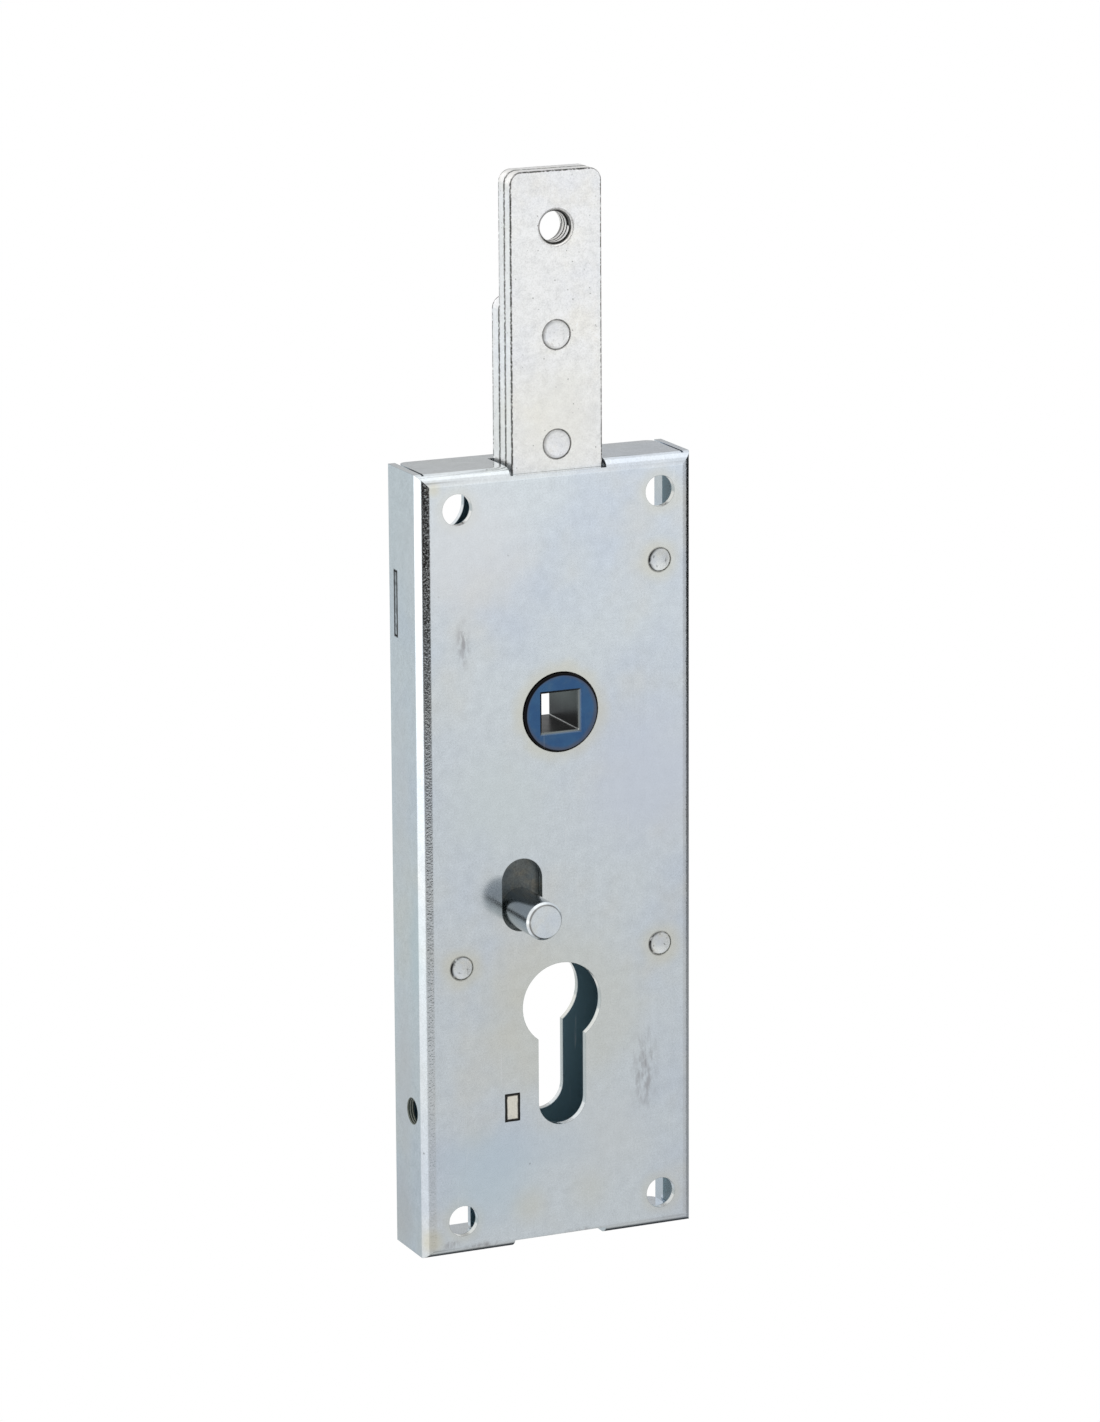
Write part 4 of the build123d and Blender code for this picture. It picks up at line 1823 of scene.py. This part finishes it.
@dataclass(frozen=True)
class Softbox(Panel):
    """A soft area lamp."""

    def build(self) -> None:
        """Adds the lamp."""
        lamp = bpy.data.lights.new(self.name, "AREA")
        lamp.shape = "RECTANGLE"
        lamp.size = self.width
        lamp.size_y = self.height
        lamp.energy = self.level * math.pi * self.width * self.height
        obj = bpy.data.objects.new(self.name, lamp)
        obj.location = self.place
        obj.rotation_euler = self.facing("-Z").to_euler()
        obj.visible_camera = False
        obj.visible_glossy = False
        bpy.context.scene.collection.objects.link(obj)


@dataclass(frozen=True)
class Card(Panel):
    """A plain card, which the metal reflects and the camera doesn't see."""

    def build(self) -> None:
        """Adds the card."""
        obj = plane(self.name, 1.0)
        turn = self.facing("Z").to_matrix().to_4x4()
        size = Matrix.Diagonal((self.width, self.height, 1.0, 1.0))
        obj.data.transform(Matrix.Translation(self.place) @ turn @ size)
        only_reflected(obj)
        graph = Graph(new_material(obj, self.name))
        graph.fill(
            graph.tree.nodes["Principled BSDF"],
            Base_Color=(0.0, 0.0, 0.0),
            Specular_IOR_Level=0.0,
            Emission_Color=(self.level,) * 3,
            Emission_Strength=1.0,
        )


@dataclass(frozen=True)
class Sector:
    """A part of the table as the metal sees it, between two distances.

    Attributes:
        middle: its direction from the object, in degrees from the front towards the right.
        half: half its width, in degrees.
        near: the nearer distance, in metres.
        far: the further distance, in metres.
        near_level: how bright it is there, where 1 is white.
        far_level: how bright it is at the further distance.
        tint: its colour.
        blend: how softly it ends, in degrees.
    """

    middle: float
    half: float
    near: float
    far: float
    near_level: float
    far_level: float
    tint: Colour = WHITE
    blend: float = 6.0


@dataclass
class MirrorTable:
    """A card on the floor that only the metal sees, lighter and darker in different directions.

    Attributes:
        height: its height, in metres.
        size: its side, in metres.
        level: how bright it is outside its sectors.
        sectors: its parts.
        foot: the middle of the dark place under the object.
        foot_radius: how far that reaches, in metres.
        foot_colour: its colour.
    """

    height: float
    size: float
    level: float = 0.85
    sectors: Sequence[Sector] = (
        Sector(24.0, 14.0, 0.45, 2.6, 0.70, 1.12, (0.98, 1.0, 1.02)),
        Sector(-103.0, 47.0, 0.5, 1.3, 0.92, 1.6, blend=3.0),
        Sector(-22.0, 34.0, 0.7, 1.35, 0.66, 0.0, blend=5.0),
        Sector(-156.0, 8.0, 0.45, 0.9, 0.60, 0.67, (0.93, 1.0, 1.03), blend=8.0),
        Sector(60.0, 20.0, 0.4, 1.4, 0.62, 0.62, blend=6.0),
        Sector(103.0, 23.0, 0.5, 1.4, 0.36, 0.0, blend=8.0),
    )
    foot: Point = (0.08, 0.17, 0.0)
    foot_radius: float = 0.17
    foot_colour: Colour = (0.05, 0.055, 0.06)

    def build(self) -> None:
        """Adds the card."""
        obj = plane("mirror_table", self.size, self.height)
        only_reflected(obj)
        graph = Graph(new_material(obj, "mirror_table"))
        place = graph.place()
        distance = graph.vector("LENGTH", place)
        aim = graph.vector("NORMALIZE", place)
        colour: object = (self.level,) * 3
        for sector in self.sectors:
            angle, half = math.radians(sector.middle), math.radians(sector.half)
            cosine = graph.vector("DOT_PRODUCT", aim, (math.sin(angle), -math.cos(angle), 0.0))
            mask = graph.smooth(cosine, math.cos(half + math.radians(sector.blend)), math.cos(half))
            ramp = graph.smooth(distance, sector.near, sector.far, sector.near_level, sector.far_level)
            colour = graph.mix(mask, colour, graph.scaled(sector.tint, ramp))
        under = graph.vector("DISTANCE", place, self.foot)
        dark = graph.fade(under, 0.8 * self.foot_radius, self.foot_radius)
        glow = graph.add("Emission")
        graph.fill(glow, Color=graph.mix(dark, colour, self.foot_colour))
        graph.fill(graph.tree.nodes["Material Output"], Surface=glow.outputs[0])


@dataclass
class Studio:
    """The world, the floor, the lamps and the cards.

    Attributes:
        floor_z: the height of the floor, in metres.
        floor_size: its side, in metres.
        floor_colour: its colour.
        fade_near: where the floor starts to turn white for the camera, in metres from the middle.
        fade_far: where it is white.
        diffuse_level: how strongly the world lights matt surfaces.
        middle: the point that the lamps face.
        table_gap: how far the mirror table lies over the floor, in metres.
    """

    floor_z: float = -0.24
    floor_size: float = 8.0
    floor_colour: Colour = (0.80, 0.80, 0.81)
    fade_near: float = 0.12
    fade_far: float = 0.27
    diffuse_level: float = 0.75
    middle: Point = (0.0, 0.0, 0.02)
    table_gap: float = 0.003

    def world(self) -> None:
        """Makes the white world, which the camera and the metal see at a strength of 1."""
        world = bpy.data.worlds.new("studio")
        bpy.context.scene.world = world
        world.use_nodes = True
        graph = Graph(world.node_tree)
        graph.tree.nodes.clear()
        path = graph.add("LightPath").outputs
        seen = graph.math("MAXIMUM", path["Is Camera Ray"], path["Is Glossy Ray"])
        seen = graph.math("MAXIMUM", seen, path["Is Transmission Ray"])
        mixed = graph.add("MixShader")
        graph.put(mixed.inputs[0], seen)
        for socket, strength in zip(mixed.inputs[1:], (self.diffuse_level, 1.0)):
            white = graph.add("Background")
            graph.fill(white, Color=WHITE, Strength=strength)
            graph.put(socket, white.outputs[0])
        graph.fill(graph.add("OutputWorld"), Surface=mixed.outputs[0])

    def floor(self) -> None:
        """Makes the pale floor, which keeps the shadow and turns white further away."""
        obj = plane("floor", self.floor_size, self.floor_z)
        graph = Graph(new_material(obj, "floor_pale"))
        shader = graph.tree.nodes["Principled BSDF"]
        place = graph.place()
        tone = graph.math("MULTIPLY_ADD", graph.noise(place, 6.0, 3.0), 0.03, 0.985)
        colour = graph.scaled(self.floor_colour, tone)
        graph.fill(shader, Base_Color=colour, Roughness=0.9, Specular_IOR_Level=0.1)
        away = graph.vector("LENGTH", graph.vector("MULTIPLY", place, (1.0, 1.0, 0.0)))
        far = graph.smooth(away, self.fade_near, self.fade_far)
        white = graph.times(far, graph.add("LightPath").outputs["Is Camera Ray"])
        mixed = graph.add("MixShader")
        glow = graph.add("Emission").outputs[0]
        for socket, value in zip(mixed.inputs, (white, shader.outputs[0], glow)):
            graph.put(socket, value)
        graph.fill(graph.tree.nodes["Material Output"], Surface=mixed.outputs[0])

    def build(self) -> None:
        """Adds everything."""
        self.world()
        self.floor()
        MirrorTable(height=self.floor_z + self.table_gap, size=self.floor_size).build()
        Softbox("softbox_left", (-1.1, -0.05, 0.12), self.middle, 1.0, 1.4, 1.35).build()
        Softbox("softbox_top", (0.0, -0.15, 1.1), self.middle, 1.3, 1.0, 1.3).build()
        Card("card_back", (0.55, 1.25, 0.45), (0.0, 0.0, 0.1), 1.2, 0.7, 0.56).build()
        Card("strip_top", (0.0, -0.15, 1.1), (0.0, -0.15, 0.0), 1.3, 1.0, 1.3).build()


@dataclass(frozen=True)
class PhotoCamera:
    """The camera at the photograph's viewing angle.

    Attributes:
        place: where it stands.
        right: its right direction.
        up: its up direction.
        lens: the focal length, in mm.
        sensor: the sensor's long side, in mm.
    """

    place: Point = (-0.482452, -1.074257, 0.314915)
    right: Point = (0.912415, -0.409229, -0.005471)
    up: Point = (0.100710, 0.211547, 0.972165)
    lens: float = 150.2698
    sensor: float = 36.0

    def build(self) -> None:
        """Adds the camera."""
        data = bpy.data.cameras.new("camera")
        data.lens = self.lens
        data.sensor_width = self.sensor
        data.sensor_fit = "AUTO"
        camera = bpy.data.objects.new("camera", data)
        right = Vector(self.right).normalized()
        back = right.cross(Vector(self.up)).normalized()
        up = back.cross(right)
        turn = Matrix((right, up, back)).transposed().to_4x4()
        camera.matrix_world = Matrix.Translation(self.place) @ turn
        bpy.context.scene.collection.objects.link(camera)
        bpy.context.scene.camera = camera


def main() -> None:
    """Builds the dressed lock in order."""
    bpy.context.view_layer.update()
    bpy.context.scene.view_settings.view_transform = "Standard"
    nodes = frame["nodes"]
    groups = SharedGroups()
    finishes = Finishes(groups)
    log.info("made the finishes")
    for assembly in (CaseAssembly(), BoltAssembly(), LeverAssembly(), HubAssembly()):
        assembly.build(nodes, finishes)
        log.info("built %s", type(assembly).__name__)
    Studio().build()
    PhotoCamera().build()


if __name__ == "__main__":
    main()
